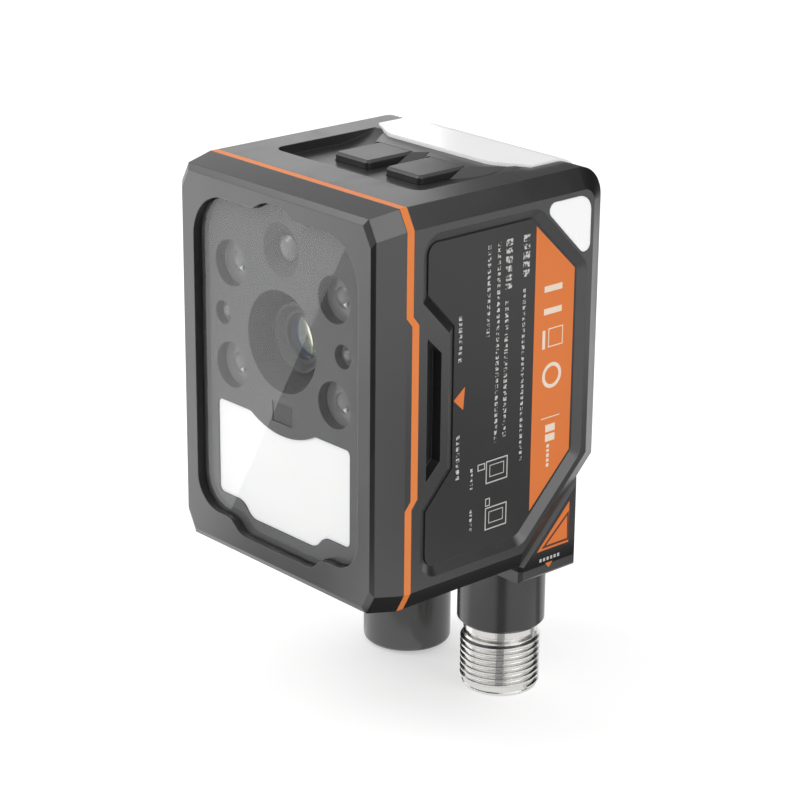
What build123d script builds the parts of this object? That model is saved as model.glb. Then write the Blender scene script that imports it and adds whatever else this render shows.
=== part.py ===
from build123d import *
import math
import os

# Smart camera with a lens window, two keys, a status bar and a swivelling connector block.
# All sizes are in millimetres. Drawing frame: X to the right seen from the front, Y from the
# front face to the rear, Z up. The front face lies at Y = 0 and the underside at Z = 0.
# The finished pieces are moved so that the origin is the centre of the rear bolt pattern,
# on the optical axis.

# Body envelope
BODY_W = 43.0
BODY_D = 43.0
BODY_H = 57.4
SLANT = 14.0
REAR_TOP_R = 4.8
EDGE_X = 1.55
EDGE_RUN = 2.85
AXIS_DOWN = 22.6

# Housing walls
SIDE_WALL = 2.6
ROOF = 3.0
BASE_WALL = 2.5
REAR_WALL = 3.0
SLANT_WALL = 2.5
INNER_R = 2.4

# Parting line and seal
SEAL_Y = 5.1
SEAL_T = 1.25
JOG = 1.05
JOG_RISE = 1.3
JOG_LOW = 15.2
JOG_DOWN = 14.7
SPIGOT_GAP = 0.1
SPIGOT_T = 1.2
SPIGOT_L = 2.2

# Front bezel
DRAFT_X = 0.9
DRAFT_Z = 0.75
BEVEL_X = 0.55
BEVEL_Z = 0.9
BEVEL_Y = 0.5

# Window opening in the bezel
WINDOW_SIDE = 3.9
WINDOW_TOP = 4.2
WINDOW_SHOULDER = 5.9
WINDOW_TOP_R = 6.7
WINDOW_LOW_R = 4.8
CHIN_SIDE = 7.5
CHIN_RUN = 2.25
CHIN_DROP = 2.0
CHIN_R = 3.0
PANE_SETBACK = 1.0
PANE_T = 0.75
PANE_GAP = 0.1
LEDGE = 1.6
LEDGE_T = 1.5

# Optics mask and what sits in it
MASK_T = 2.85
LED_SIDE = 6.5
LED_UP = 8.8
LED_DOWN = 6.2
LED_R = 3.35
LED_DEPTH = 1.6
LED_LIP = 0.25
LED_DOME_R = 1.5
LED_DOME_H = 0.45
AIM_SIDE = 4.7
AIM_UP = 1.2
AIM_R = 1.7
AIM_DEPTH = 1.3
AIM_DOME_R = 1.15
AIM_DOME_H = 0.9
RANGE_UP = 13.2
RANGE_R = 3.8
RANGE_DEPTH = 1.25
RANGE_LENS_R = 1.9
RANGE_DOME_H = 0.75
BUMP_R = 6.7
FUNNEL_R = 7.35
FUNNEL_END_R = 5.3
FUNNEL_L = 3.9
FUNNEL_WALL = 1.2
EYE_W = 4.4
EYE_H = 3.0
EYE_DOWN = 10.55
FLOOD_SIDE = 3.25
FLOOD_TOP = 11.95
FLOOD_EDGE = 2.6
FLOOD_ARC_R = 13.85
FLOOD_TOP_R = 0.8
FLOOD_LOW_R = 1.0
FLOOD_CHIN_SIDE = 1.2
FLOOD_CHIN_RUN = 1.8
FLOOD_CHIN_DROP = 2.15
FLOOD_CHIN_R = 2.6
FLANGE_W = 0.8
FLANGE_T = 1.5
FLUSH = 0.15
PEG_R = 0.9
STAKE_R = 0.5
PEG_TOP_X = 5.6
PEG_TOP_UP = 14.5
PEG_LOW_X = 6.0
PEG_LOW_DOWN = 8.3

# Objective
BARREL_FRONT = 2.85
BARREL_R = 5.05
BARREL_THREAD_R = 6.0
BARREL_NECK_L = 6.4
BARREL_L = 15.4
BARREL_BORE_R = 3.95
BARREL_MOUTH_R = 4.6
MOUTH_DEPTH = 0.9
GLASS_R = 3.3
GLASS_CROWN = 0.75
GLASS_T = 1.8
RETAINER_T = 0.5
REAR_GLASS_T = 1.6
REAR_CROWN = 0.4
HOLDER_WALL = 1.3
HOLDER_L = 10.0
HOLDER_BASE = 15.2
HOLDER_R = 1.2
HOLDER_BASE_T = 3.0

# Circuit boards and what holds them
BOARD_SIDE = 7.5
BOARD_DOWN = 7.4
BOARD_LOW = 17.0
BOARD_T = 1.0
BOARD_R = 1.0
LED_BOARD_RIM = 0.2
LED_BOARD_LOW = 9.0
LED_BOARD_DOWN = 6.6
LED_BOARD_R = 3.0
CHIP_T = 0.7
EMITTER_W = 2.2
EMITTER_PITCH = 4.8
EMITTER_ROWS = 2
EMITTER_COLUMNS = 5
RANGE_CHIP_W = 3.4
SENSOR_W = 9.0
SENSOR_T = 1.2
SENSOR_GAP = 0.2
SPACER_R = 2.0
STACK_INSET = 2.5
STACK_LOW = 19.5
STACK_DOWN = 16.9
STACK_BOSS_L = 3.6
STACK_SCREW_R = 0.8
STACK_HEAD_R = 1.6
STACK_HEAD_T = 0.8
STACK_BLIND = 0.5
PROCESSOR_W = 12.0
PROCESSOR_T = 1.2
PAD_W = 13.0
PROCESSOR_DOWN = 2.0
MEMORY_X = 8.0
MEMORY_W = 5.0
MEMORY_H = 8.0
PLUG_W = 9.0
PLUG_H = 6.0
PLUG_T = 2.4
PLUG_UP = 5.0

# Case screws and rear mounting holes
CASE_SCREW_INSET = 4.5
CASE_SCREW_LOW = 18.5
CASE_SCREW_DOWN = 17.5
CASE_SCREW_R = 1.0
CASE_HEAD_R = 1.9
CASE_HEAD_T = 1.6
CASE_SINK = 2.2
CASE_SOCKET_R = 1.1
CASE_SOCKET_DEPTH = 0.9
CASE_BLIND = 0.5
CASE_BOSS_R = 2.2
CASE_BOSS_L = 4.3
MOUNT_PITCH = 20.0
MOUNT_R = 1.25
MOUNT_DEPTH = 5.0
MOUNT_BOSS_R = 3.0
MOUNT_BOSS_L = 3.0

# Side panel recess, slot and status window
PANEL_FRONT = 8.0
PANEL_REAR = 3.8
PANEL_TOP = 3.95
PANEL_LOW = 4.1
PANEL_SLANT = 3.75
PANEL_CUT = 9.7
PANEL_DEPTH = 0.8
PANEL_WALL_RUN = 1.4
PANEL_CORNER_R = 3.2
NOTCH_DEPTH = 4.9
NOTCH_RUN = 5.2
NOTCH_LOW = 14.4
NOTCH_DOWN = 13.1
SLOT_FRONT = 8.9
SLOT_W = 2.6
SLOT_LOW = 18.5
SLOT_DOWN = 18.3
SLOT_RUN = 2.5
SLOT_DEPTH = 1.7
LABEL_T = 0.15
LABEL_GAP = 0.1
LAMP_TOP = 3.6
LAMP_REAR = 3.4
LAMP_LEG = 9.9
LAMP_TIP_R = 1.15
LAMP_CORNER_R = 2.4
LAMP_DEPTH = 1.4
LAMP_PIPE_R = 1.1

# Key field, shoulders and keys
FIELD_SIDE = 6.2
FIELD_BACK = 11.0
FIELD_L = 19.4
FIELD_DEPTH = 1.45
FIELD_R = 2.0
RAMP_RUN = 7.5
SHOULDER_W = 26.4
SHOULDER_FOOT_W = 29.4
SHOULDER_LEAD = 0.6
SHOULDER_FOOT_LEAD = 3.2
SHOULDER_NOTCH = 2.4
KEY_W = 7.2
KEY_L = 8.4
KEY_BACK = 5.0
KEY_SPLIT = 3.6
KEY_SINK = 0.2
KEY_GAP = 0.12
KEY_TRAVEL = 0.5
KEY_BEVEL = 0.35
KEY_R = 0.7
KEY_LIP = 0.8
KEY_LIP_T = 0.9
SWITCH_W = 3.0
SWITCH_T = 0.9
PLUNGER_R = 0.75
PLUNGER_H = 0.3
SWITCH_REST_GAP = 0.1
KEY_BOARD_W = 27.0
KEY_BOARD_L = 11.5
KEY_POST_R = 1.4
KEY_POST_INSET = 1.9
KEY_SCREW_BITE = 0.4

# Status bar over the rear top edge
BAR_SIDE = 5.6
BAR_FRONT = 12.8
BAR_CUT_X = 5.4
BAR_CUT_Y = 2.9
BAR_CUT_R = 4.0
BAR_DROP = 7.4
BAR_PROUD = 0.35
BAR_T = 1.65
BAR_RIB_T = 2.0
BAR_RIB_SIDE = 2.2
BAR_RIB_L = 5.2
BAR_BOARD_H = 5.0
BAR_BOARD_T = 0.8

# Connector block on the 45 degree face
SWIVEL_GAP = 0.3
BLOCK_SIDE = 1.5
BLOCK_LEAD = 0.1
BLOCK_REAR = 2.4
BLOCK_DROP = 3.05
BLOCK_BEVEL = 0.55
BLOCK_WALL = 2.0
DECAL_T = 0.12
DECAL_REAR = 1.8
DECAL_LOW = 4.1
DECAL_SLANT = 1.22
SPINDLE_R = 3.8
SPINDLE_BORE_R = 2.2
SPINDLE_SEAT = 1.3
SPINDLE_FIT = 0.05
SPINDLE_BOSS_R = 5.6
SPINDLE_BOSS_L = 1.5
SPINDLE_TAIL = 1.6
CLIP_R = 4.9
CLIP_T = 0.7
CLIP_GAP = 0.2
CLIP_GROOVE = 0.5
RING_R = 0.25
RING_PLACE = 1.2
RING_ROOM = 0.5

# Connectors
PORT_X = 10.36
PORT_BACK = 5.8
COLLAR_R = 6.53
COLLAR_L = 10.05
COLLAR_BORE_R = 5.2
THREAD_R = 6.0
NECK_R = 5.55
NECK_L = 1.25
GROOVE_R = 5.0
GROOVE_L = 0.55
SHELL_L = 10.5
SHELL_BORE_R = 4.4
SHELL_BORE_L = 9.2
SHELL_CHAMFER = 0.5
SOCKET_R = 6.77
SOCKET_L = 20.25
SOCKET_ROUND = 0.7
SOCKET_THREAD_R = 5.46
SOCKET_THREAD_L = 9.0
SOCKET_BORE_R = 4.25
INSERT_SETBACK = 1.5
TAIL_R = 2.8
TAIL_L = 2.2
PIN_R = 0.4
PIN_CIRCLE_R = 2.75
PIN_COUNT = 7
PIN_L = 6.8
PIN_ROOT = 1.0
CONTACT_R = 0.5
CONTACT_BORE_R = 0.32
CONTACT_SETBACK = 0.6
POLARISER_R = 0.5
PORT_BOARD_SIDE = 4.5
PORT_BOARD_D = 5.8
PORT_BOARD_T = 0.8
FIT = 0.05

# Places worked out from the sizes above
HALF_W = BODY_W / 2
AXIS_Z = BODY_H - AXIS_DOWN
JOG_HIGH = BODY_H - JOG_DOWN
NOTCH_HIGH = BODY_H - NOTCH_DOWN
SLOT_HIGH = BODY_H - SLOT_DOWN
WINDOW_W = BODY_W - 2 * WINDOW_SIDE
CHIN_W = WINDOW_W - 2 * CHIN_SIDE
LED_X = WINDOW_W / 2 - LED_SIDE
AIM_X = WINDOW_W / 2 - AIM_SIDE
FLOOD_W = WINDOW_W - 2 * FLOOD_SIDE
FLOOD_CHIN_W = CHIN_W - 2 * FLOOD_CHIN_SIDE
FLOOD_HIGH = AXIS_Z - FLOOD_TOP
FLOOD_LOW = WINDOW_SHOULDER + FLOOD_EDGE
PANE_BACK = PANE_SETBACK + PANE_T
MASK_BACK = PANE_BACK + MASK_T
LEDGE_BACK = MASK_BACK + LEDGE_T
CAVITY_HALF = HALF_W - SIDE_WALL
CAVITY_TOP = BODY_H - ROOF
CAVITY_REAR = BODY_D - REAR_WALL
SLANT_LINE = BODY_D - SLANT
CAVITY_SLANT_LINE = SLANT_LINE - SLANT_WALL * math.sqrt(2)
SHOULDER_TOP = BODY_H - WINDOW_TOP
LED_BOARD_Y = MASK_BACK + CHIP_T + FLUSH
BARREL_Y = PANE_BACK + BARREL_FRONT
BARREL_BACK = BARREL_Y + BARREL_L
SENSOR_BOARD_Y = BARREL_BACK + HOLDER_BASE_T
STACK_BOSS_Y = CAVITY_REAR - STACK_BOSS_L
SPACER_L = (STACK_BOSS_Y - SENSOR_BOARD_Y - 3 * BOARD_T) / 2
INTERFACE_Y = SENSOR_BOARD_Y + BOARD_T + SPACER_L
PROCESSOR_Y = INTERFACE_Y + BOARD_T + SPACER_L
BOARD_W = BODY_W - 2 * BOARD_SIDE
BOARD_TOP = BODY_H - BOARD_DOWN
LED_BOARD_W = 2 * AIM_X + EMITTER_W + 2 * LED_BOARD_RIM
LED_BOARD_TOP = BODY_H - LED_BOARD_DOWN
STACK_X = BOARD_W / 2 - STACK_INSET
STACK_HIGH = BODY_H - STACK_DOWN
CASE_SCREW_X = HALF_W - CASE_SCREW_INSET
CASE_SCREW_HIGH = BODY_H - CASE_SCREW_DOWN
BOSS_END = LEDGE_BACK + CASE_BOSS_L
FIELD_W = BODY_W - 2 * FIELD_SIDE
FIELD_REAR = BODY_D - FIELD_BACK
FIELD_FRONT = FIELD_REAR - FIELD_L
KEY_REAR = FIELD_REAR - KEY_BACK
KEY_FRONT = KEY_REAR - KEY_L
KEY_BOARD_REAR = KEY_FRONT + KEY_BOARD_L
FIELD_FLOOR = BODY_H - FIELD_DEPTH
KEY_TOP = BODY_H - KEY_SINK
KEY_BOTTOM = CAVITY_TOP - KEY_LIP_T
SWITCH_TOP = KEY_BOTTOM - KEY_TRAVEL - SWITCH_REST_GAP
KEY_BOARD_TOP = SWITCH_TOP - SWITCH_T
BAR_W = BODY_W - 2 * BAR_SIDE
BAR_RIB_W = BAR_W - 2 * BAR_RIB_SIDE
BAR_BOARD_W = 2 * (CAVITY_HALF - SPIGOT_GAP)
BLOCK_W = BODY_W - 2 * BLOCK_SIDE
BLOCK_FRONT = SLANT_LINE + BLOCK_LEAD
BLOCK_BACK = BODY_D - BLOCK_REAR
BLOCK_LINE = SLANT_LINE + SWIVEL_GAP * math.sqrt(2)
PORT_Y = BLOCK_BACK - PORT_BACK
PORT_BOARD_W = BLOCK_W - 2 * PORT_BOARD_SIDE
COLLAR_END = -BLOCK_DROP - COLLAR_L
SHELL_END = COLLAR_END - SHELL_L
SOCKET_END = -BLOCK_DROP - SOCKET_L
PORT_BOARD_Z = TAIL_L - BLOCK_DROP
LED_SPOTS = {
    "upper_left": (-LED_X, AXIS_Z + LED_UP),
    "upper_right": (LED_X, AXIS_Z + LED_UP),
    "lower_left": (-LED_X, AXIS_Z - LED_DOWN),
    "lower_right": (LED_X, AXIS_Z - LED_DOWN),
}
SIDES = {"left": -1, "right": 1}
CASE_SPOTS = [
    (side * CASE_SCREW_X, z)
    for side in SIDES.values()
    for z in (CASE_SCREW_LOW, CASE_SCREW_HIGH)
]
STACK_SPOTS = [
    (side * STACK_X, z)
    for side in SIDES.values()
    for z in (STACK_LOW, STACK_HIGH)
]
MOUNT_SPOTS = [
    (x_side * MOUNT_PITCH / 2, AXIS_Z + z_side * MOUNT_PITCH / 2)
    for x_side in SIDES.values()
    for z_side in SIDES.values()
]
SWIVEL = Plane(origin=(0, BODY_D - SLANT / 2, SLANT / 2), x_dir=(1, 0, 0), z_dir=(0, 1, -1))
BAR_CENTRE = Plane(origin=(0, BODY_D - REAR_TOP_R, BODY_H - REAR_TOP_R), x_dir=(1, 0, 0), z_dir=(0, 1, 1))


# Helpers: prisms drawn on the front, the side and the top, and turned pieces

def front_prism(sketch, y_front, y_back):
    """Extrude a sketch drawn in X and Z from one depth to another."""
    return extrude(Plane.XZ.offset(-y_front) * sketch, amount=y_front - y_back)


def front_loft(back_sketch, y_back, front_sketch, y_front):
    """Straight-sided transition between two sketches in X and Z at different depths."""
    back_face = (Plane.XZ.offset(-y_back) * back_sketch).face()
    front_face = (Plane.XZ.offset(-y_front) * front_sketch).face()
    return loft([back_face, front_face], ruled=True)


def side_prism(sketch, x_low, x_high):
    """Extrude a sketch drawn in Y and Z across the width."""
    return extrude(Plane.YZ.offset(x_low) * sketch, amount=x_high - x_low)


def top_prism(sketch, z_low, z_high):
    """Extrude a sketch drawn in X and Y upwards."""
    return extrude(Plane.XY.offset(z_low) * sketch, amount=z_high - z_low)


def swivel_prism(sketch, low, high):
    """Extrude a sketch along the swivel axis; zero lies on the 45 degree face of the body."""
    return extrude(SWIVEL.offset(low) * sketch, amount=high - low)


def polygon(*points):
    return make_face(Polyline(*points, close=True))


def turned(points, x=0.0, z=0.0):
    """Turn a profile of (radius, depth) points about an axis that runs front to rear."""
    return Pos(x, 0, z) * revolve(polygon(*points), Axis.Y)


def turned_upright(points, x=0.0, y=0.0):
    """Turn a profile of (radius, height) points about an upright axis."""
    return Pos(x, y, 0) * revolve(Plane.XZ * polygon(*points), Axis.Z)


def rods(spots, radius, y_front, y_back):
    """Equal round rods along the depth, one at each (x, z) spot."""
    return Part() + [front_prism(Pos(x, z) * Circle(radius), y_front, y_back) for x, z in spots]


def save(name, shape):
    moved = Pos(0, -BODY_D, -AXIS_Z) * shape
    moved.label = name
    export_step(moved, f"parts/{name}.step")


# Outlines that several pieces share

def side_profile():
    """Side view of the body: flat base, 45 degree cut at the lower rear, rounded rear top edge."""
    outline = polygon((0, 0), (SLANT_LINE, 0), (BODY_D, SLANT), (BODY_D, BODY_H), (0, BODY_H))
    rear_top = outline.vertices().sort_by(lambda v: v.X + v.Y)[-1]
    return fillet(rear_top, REAR_TOP_R)


def front_outline(inset_x=0.0, inset_z=0.0):
    """Front view of the body with its cut corners, drawn in from the full size."""
    x = HALF_W - inset_x
    low = inset_z
    high = BODY_H - inset_z
    right = [(x - EDGE_X, low), (x, low + EDGE_RUN), (x, high - EDGE_RUN), (x - EDGE_X, high)]
    left = [(-px, pz) for px, pz in reversed(right)]
    return polygon(*right, *left)


def window_outline():
    """Window shape: large upper corners, a round bump over the ranging lens, a stepped chin."""
    height = SHOULDER_TOP - WINDOW_SHOULDER
    pane = Pos(0, WINDOW_SHOULDER + height / 2) * Rectangle(WINDOW_W, height)
    pane = fillet(pane.vertices().group_by(Axis.Y)[-1], WINDOW_TOP_R)
    pane = fillet(pane.vertices().group_by(Axis.Y)[0], WINDOW_LOW_R)
    bump = Pos(0, AXIS_Z + RANGE_UP) * Circle(BUMP_R)
    return add_chin(pane + bump, CHIN_W, CHIN_RUN, WINDOW_SHOULDER, CHIN_DROP, CHIN_R)


def add_chin(outline, width, run, top_z, drop, radius):
    """Hang a trapezoid with soft corners below the straight lower edge of an outline."""
    half = width / 2
    low_z = top_z - drop
    hanging = polygon((-half, top_z), (run - half, low_z), (half - run, low_z), (half, top_z))
    joined = outline + hanging
    corners = [v for v in joined.vertices() if v.Y < top_z + FIT and abs(v.X) < half + FIT]
    return fillet(corners, radius)


def flood_outline():
    """Diffuser shape: its top is scooped out round the lens, its chin follows the window."""
    centre_z = (FLOOD_HIGH + FLOOD_LOW) / 2
    plate = Pos(0, centre_z) * Rectangle(FLOOD_W, FLOOD_HIGH - FLOOD_LOW)
    plate = fillet(plate.vertices().group_by(Axis.Y)[-1], FLOOD_TOP_R)
    plate = fillet(plate.vertices().group_by(Axis.Y)[0], FLOOD_LOW_R)
    plate -= Pos(0, AXIS_Z) * Circle(FLOOD_ARC_R)
    return add_chin(plate, FLOOD_CHIN_W, FLOOD_CHIN_RUN, FLOOD_LOW, FLOOD_CHIN_DROP, FLOOD_CHIN_R)


def parting_region(shift=0.0):
    """Everything in front of the stepped parting line, moved back by a distance."""
    front = SEAL_Y + shift
    back = front + JOG
    edge = [
        (front, -BODY_H),
        (front, JOG_LOW),
        (back, JOG_LOW + JOG_RISE),
        (back, JOG_HIGH - JOG_RISE),
        (front, JOG_HIGH),
        (front, 2 * BODY_H),
    ]
    return side_prism(polygon((-BODY_D, -BODY_H), *edge, (-BODY_D, 2 * BODY_H)), -BODY_W, BODY_W)


def spigot_outline(inset=0.0):
    """Inner lip of the bezel, which fits into the mouth of the housing."""
    half = CAVITY_HALF - SPIGOT_GAP - inset
    low = BASE_WALL + SPIGOT_GAP + inset
    high = CAVITY_TOP - SPIGOT_GAP - inset
    return Pos(0, (low + high) / 2) * Rectangle(2 * half, high - low)


def body_block():
    """Outer form of the body with the long bevels round both sides."""
    block = side_prism(side_profile(), -HALF_W, HALF_W)
    for side in (Axis.X, -Axis.X):
        face = block.faces().sort_by(side)[-1]
        rim = [edge for edge in face.edges() if edge.center().Y > EDGE_RUN]
        block = chamfer(rim, EDGE_RUN, EDGE_X, reference=face)
    return block


# Side panel, slot and status window

def panel_outline():
    """Side panel recess: cut corners at the rear and a notch at the front round the slot."""
    rear = BODY_D - PANEL_REAR
    top = BODY_H - PANEL_TOP
    slant = SLANT_LINE - PANEL_SLANT * math.sqrt(2)
    outline = polygon(
        (PANEL_FRONT, PANEL_LOW),
        (slant + PANEL_LOW, PANEL_LOW),
        (rear, rear - slant),
        (rear, top - PANEL_CUT),
        (rear - PANEL_CUT, top),
        (PANEL_FRONT, top),
    )
    notch = polygon(
        (PANEL_FRONT, NOTCH_LOW),
        (PANEL_FRONT + NOTCH_DEPTH, NOTCH_LOW + NOTCH_RUN),
        (PANEL_FRONT + NOTCH_DEPTH, NOTCH_HIGH - NOTCH_RUN),
        (PANEL_FRONT, NOTCH_HIGH),
    )
    return fillet(outline.vertices(), PANEL_CORNER_R) - notch


def panel_floor():
    return offset(panel_outline(), -PANEL_WALL_RUN, kind=Kind.INTERSECTION)


def panel_recess(side):
    """Shallow pocket with sloping walls, between the rim outline and the floor outline."""
    rim = Plane.YZ.offset(HALF_W) * panel_outline()
    floor = Plane.YZ.offset(HALF_W - PANEL_DEPTH) * panel_floor()
    pocket = loft([floor.face(), rim.face()], ruled=True)
    return pocket if side > 0 else mirror(pocket, Plane.YZ)


def slot_outline():
    rear = SLOT_FRONT + SLOT_W
    return polygon(
        (SLOT_FRONT, SLOT_LOW),
        (rear, SLOT_LOW + SLOT_RUN),
        (rear, SLOT_HIGH - SLOT_RUN),
        (SLOT_FRONT, SLOT_HIGH),
    )


def lamp_outline():
    """Right triangle with rounded corners at the upper rear corner of the side."""
    rear = BODY_D - LAMP_REAR
    top = BODY_H - LAMP_TOP
    outline = polygon((rear - LAMP_LEG, top), (rear, top - LAMP_LEG), (rear, top))
    outline = fillet(outline.vertices().sort_by(lambda v: v.X + v.Y)[-1], LAMP_CORNER_R)
    tips = [outline.vertices().sort_by(Axis.X)[0], outline.vertices().sort_by(Axis.Y)[0]]
    return fillet(tips, LAMP_TIP_R)


def lamp_pipe_centre():
    return (BODY_D - LAMP_REAR - LAMP_LEG / 3, BODY_H - LAMP_TOP - LAMP_LEG / 3)


def sideways(sketch, side, depth_from, depth_to):
    """Prism on one side of the body, between two depths below its side face."""
    high = HALF_W - depth_from
    low = HALF_W - depth_to
    return side_prism(sketch, low, high) if side > 0 else side_prism(sketch, -high, -low)


# Top field, keys and status bar

def key_outline(side, grow=0.0):
    """Plan of one key: its front corners are round and its rear end is straight."""
    centre = Pos(side * (KEY_SPLIT / 2 + KEY_W / 2), KEY_FRONT + KEY_L / 2)
    plan = centre * Rectangle(KEY_W + 2 * grow, KEY_L + 2 * grow)
    return fillet(plan.vertices().group_by(Axis.Y)[0], KEY_R + grow)


def shoulder_outline(lead, rear_w):
    """Plan of the raised part behind both keys: it fans out to the rear, with a notch between."""
    front = KEY_REAR - lead
    inner = KEY_SPLIT / 2
    outer = inner + KEY_W
    right = [(inner, front), (outer, front), (rear_w / 2, FIELD_REAR)]
    left = [(-x, y) for x, y in reversed(right)]
    return polygon((0, front + SHOULDER_NOTCH), *right, *left)


def key_shoulders():
    """Raised part with sloping sides that carries on the level of the keys to the status bar."""
    foot = Plane.XY.offset(FIELD_FLOOR) * shoulder_outline(SHOULDER_FOOT_LEAD, SHOULDER_FOOT_W)
    top = Plane.XY.offset(KEY_TOP) * shoulder_outline(SHOULDER_LEAD, SHOULDER_W)
    return loft([foot.face(), top.face()], ruled=True)


def field_pocket():
    """Sunken key field; its floor curves up to the top face beside the shoulders."""
    plan = Pos(0, FIELD_FRONT + FIELD_L / 2) * Rectangle(FIELD_W, FIELD_L)
    plan = fillet(plan.vertices().group_by(Axis.Y)[0], FIELD_R)
    pocket = top_prism(plan, FIELD_FLOOR, BODY_H) - key_shoulders()
    sweep_r = (RAMP_RUN ** 2 + FIELD_DEPTH ** 2) / (2 * FIELD_DEPTH)
    start = FIELD_REAR - RAMP_RUN
    below_arc = Pos(start, FIELD_FLOOR + sweep_r) * Circle(sweep_r)
    ramp = polygon(
        (start, FIELD_FLOOR),
        (FIELD_REAR, FIELD_FLOOR),
        (FIELD_REAR, BODY_H),
        (start, BODY_H),
    ) - below_arc
    return pocket - side_prism(ramp, -BODY_W, BODY_W)


def bar_section():
    """Section of the status bar: a band that follows the rounded rear top edge."""
    front = BODY_D - BAR_FRONT
    low = BODY_H - BAR_DROP
    band = offset(side_profile(), BAR_PROUD) - offset(side_profile(), BAR_PROUD - BAR_T)
    far = 2 * BODY_H
    return band & polygon((front, low), (far, low), (far, far), (front, far))


def bar_plan():
    """Plan of the status bar: its front corners are cut back in a soft curve."""
    front = BODY_D - BAR_FRONT
    far = 2 * BODY_D
    half = BAR_W / 2
    right = [(half - BAR_CUT_X, front), (half, front + BAR_CUT_Y), (half, far)]
    left = [(-x, y) for x, y in reversed(right)]
    outline = polygon(*right, *left)
    return fillet(outline.vertices().group_by(Axis.Y)[0], BAR_CUT_R)


def bar_band(plan):
    """The curved band of the status bar, cut to a plan."""
    return side_prism(bar_section(), -HALF_W, HALF_W) & top_prism(plan, 0, 2 * BODY_H)


def bar_rib(grow=0.0):
    """Light guide rib that leads from the bar through the wall to the lamps."""
    plan = Rectangle(BAR_RIB_W + 2 * grow, BAR_RIB_T + 2 * grow)
    outer = REAR_TOP_R + BAR_PROUD - BAR_T + FLUSH
    return extrude(BAR_CENTRE.offset(outer - BAR_RIB_L) * plan, amount=BAR_RIB_L)


def make_housing():
    """Deep cup with all the features that are cast or milled into it."""
    housing = body_block() - parting_region(SEAL_T)
    cavity = polygon(
        (0, BASE_WALL),
        (CAVITY_SLANT_LINE + BASE_WALL, BASE_WALL),
        (CAVITY_REAR, CAVITY_REAR - CAVITY_SLANT_LINE),
        (CAVITY_REAR, CAVITY_TOP),
        (0, CAVITY_TOP),
    )
    corner = cavity.vertices().sort_by(lambda v: v.X + v.Y)[-1]
    room = side_prism(fillet(corner, INNER_R), -CAVITY_HALF, CAVITY_HALF)
    columns = rods(CASE_SPOTS, CASE_BOSS_R, BOSS_END + SPIGOT_GAP, BODY_D - REAR_WALL)
    columns += rods(STACK_SPOTS, SPACER_R, STACK_BOSS_Y, CAVITY_REAR)
    columns += rods(MOUNT_SPOTS, MOUNT_BOSS_R, CAVITY_REAR - MOUNT_BOSS_L, CAVITY_REAR)
    collar = swivel_prism(Circle(SPINDLE_BOSS_R), -SLANT_WALL - SPINDLE_BOSS_L, -SLANT_WALL)
    posts = [
        top_prism(Pos(x, y) * Circle(KEY_POST_R), KEY_BOARD_TOP, CAVITY_TOP) for x, y in key_post_spots()
    ]
    housing -= room - columns - collar - (Part() + posts)
    housing -= swivel_prism(Circle(SPINDLE_R + SPINDLE_FIT), -SLANT_WALL - 2 * SPINDLE_BOSS_L, SLANT_WALL)
    housing -= rods(CASE_SPOTS, CASE_SCREW_R + SPIGOT_GAP, 0, BODY_D)
    housing -= rods(CASE_SPOTS, CASE_HEAD_R + SPIGOT_GAP, BODY_D - CASE_SINK, BODY_D)
    housing -= rods(MOUNT_SPOTS, MOUNT_R, BODY_D - MOUNT_DEPTH, BODY_D)
    housing -= rods(STACK_SPOTS, STACK_SCREW_R, STACK_BOSS_Y, CAVITY_REAR - STACK_BLIND)
    housing -= field_pocket()
    housing -= bar_band(bar_plan())
    housing -= bar_rib(SPIGOT_GAP)
    for x, y in key_post_spots():
        pilot_end = CAVITY_TOP + KEY_SCREW_BITE + FLUSH
        housing -= top_prism(Pos(x, y) * Circle(STACK_SCREW_R), KEY_BOARD_TOP, pilot_end)
    for side in SIDES.values():
        housing -= panel_recess(side)
        housing -= sideways(slot_outline(), side, 0, SLOT_DEPTH)
        housing -= sideways(lamp_outline(), side, 0, LAMP_DEPTH)
        housing -= sideways(Pos(*lamp_pipe_centre()) * Circle(LAMP_PIPE_R), side, 0, SIDE_WALL)
        housing -= top_prism(key_outline(side, KEY_GAP), CAVITY_TOP, BODY_H)
    return housing


def key_post_spots():
    """Places of the posts under the roof that carry the key board, as (x, y)."""
    x = KEY_BOARD_W / 2 - KEY_POST_INSET
    depths = (KEY_FRONT + KEY_POST_INSET, KEY_BOARD_REAR - KEY_POST_INSET)
    return [(side * x, y) for side in SIDES.values() for y in depths]


# Front pieces

def make_bezel():
    """Drafted front frame with the window opening, a rear ledge, a spigot and screw bosses."""
    back = SEAL_Y + JOG
    spigot_end = LEDGE_BACK + SPIGOT_L
    rear = front_outline()
    middle = front_outline(DRAFT_X, DRAFT_Z)
    front = front_outline(DRAFT_X + BEVEL_X, DRAFT_Z + BEVEL_Z)
    frame = front_prism(rear, SEAL_Y, back)
    frame += front_loft(rear, SEAL_Y, middle, BEVEL_Y)
    frame += front_loft(middle, BEVEL_Y, front, 0)
    frame &= parting_region()
    frame += front_prism(spigot_outline(), MASK_BACK, spigot_end)
    frame -= front_prism(window_outline(), 0, MASK_BACK)
    frame -= front_prism(offset(window_outline(), -LEDGE), MASK_BACK, LEDGE_BACK)
    frame -= front_prism(spigot_outline(SPIGOT_T), LEDGE_BACK, spigot_end)
    bosses = rods(CASE_SPOTS, CASE_BOSS_R, LEDGE_BACK, BOSS_END)
    frame += bosses & front_prism(spigot_outline(), LEDGE_BACK, BOSS_END)
    return frame - rods(CASE_SPOTS, CASE_SCREW_R, LEDGE_BACK + CASE_BLIND, BOSS_END)


def make_seal():
    """Flat gasket that follows the stepped parting line all the way round."""
    ring = front_prism(front_outline() - spigot_outline(), SEAL_Y, SEAL_Y + JOG + SEAL_T)
    return ring & (parting_region(SEAL_T) - parting_region())


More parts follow.
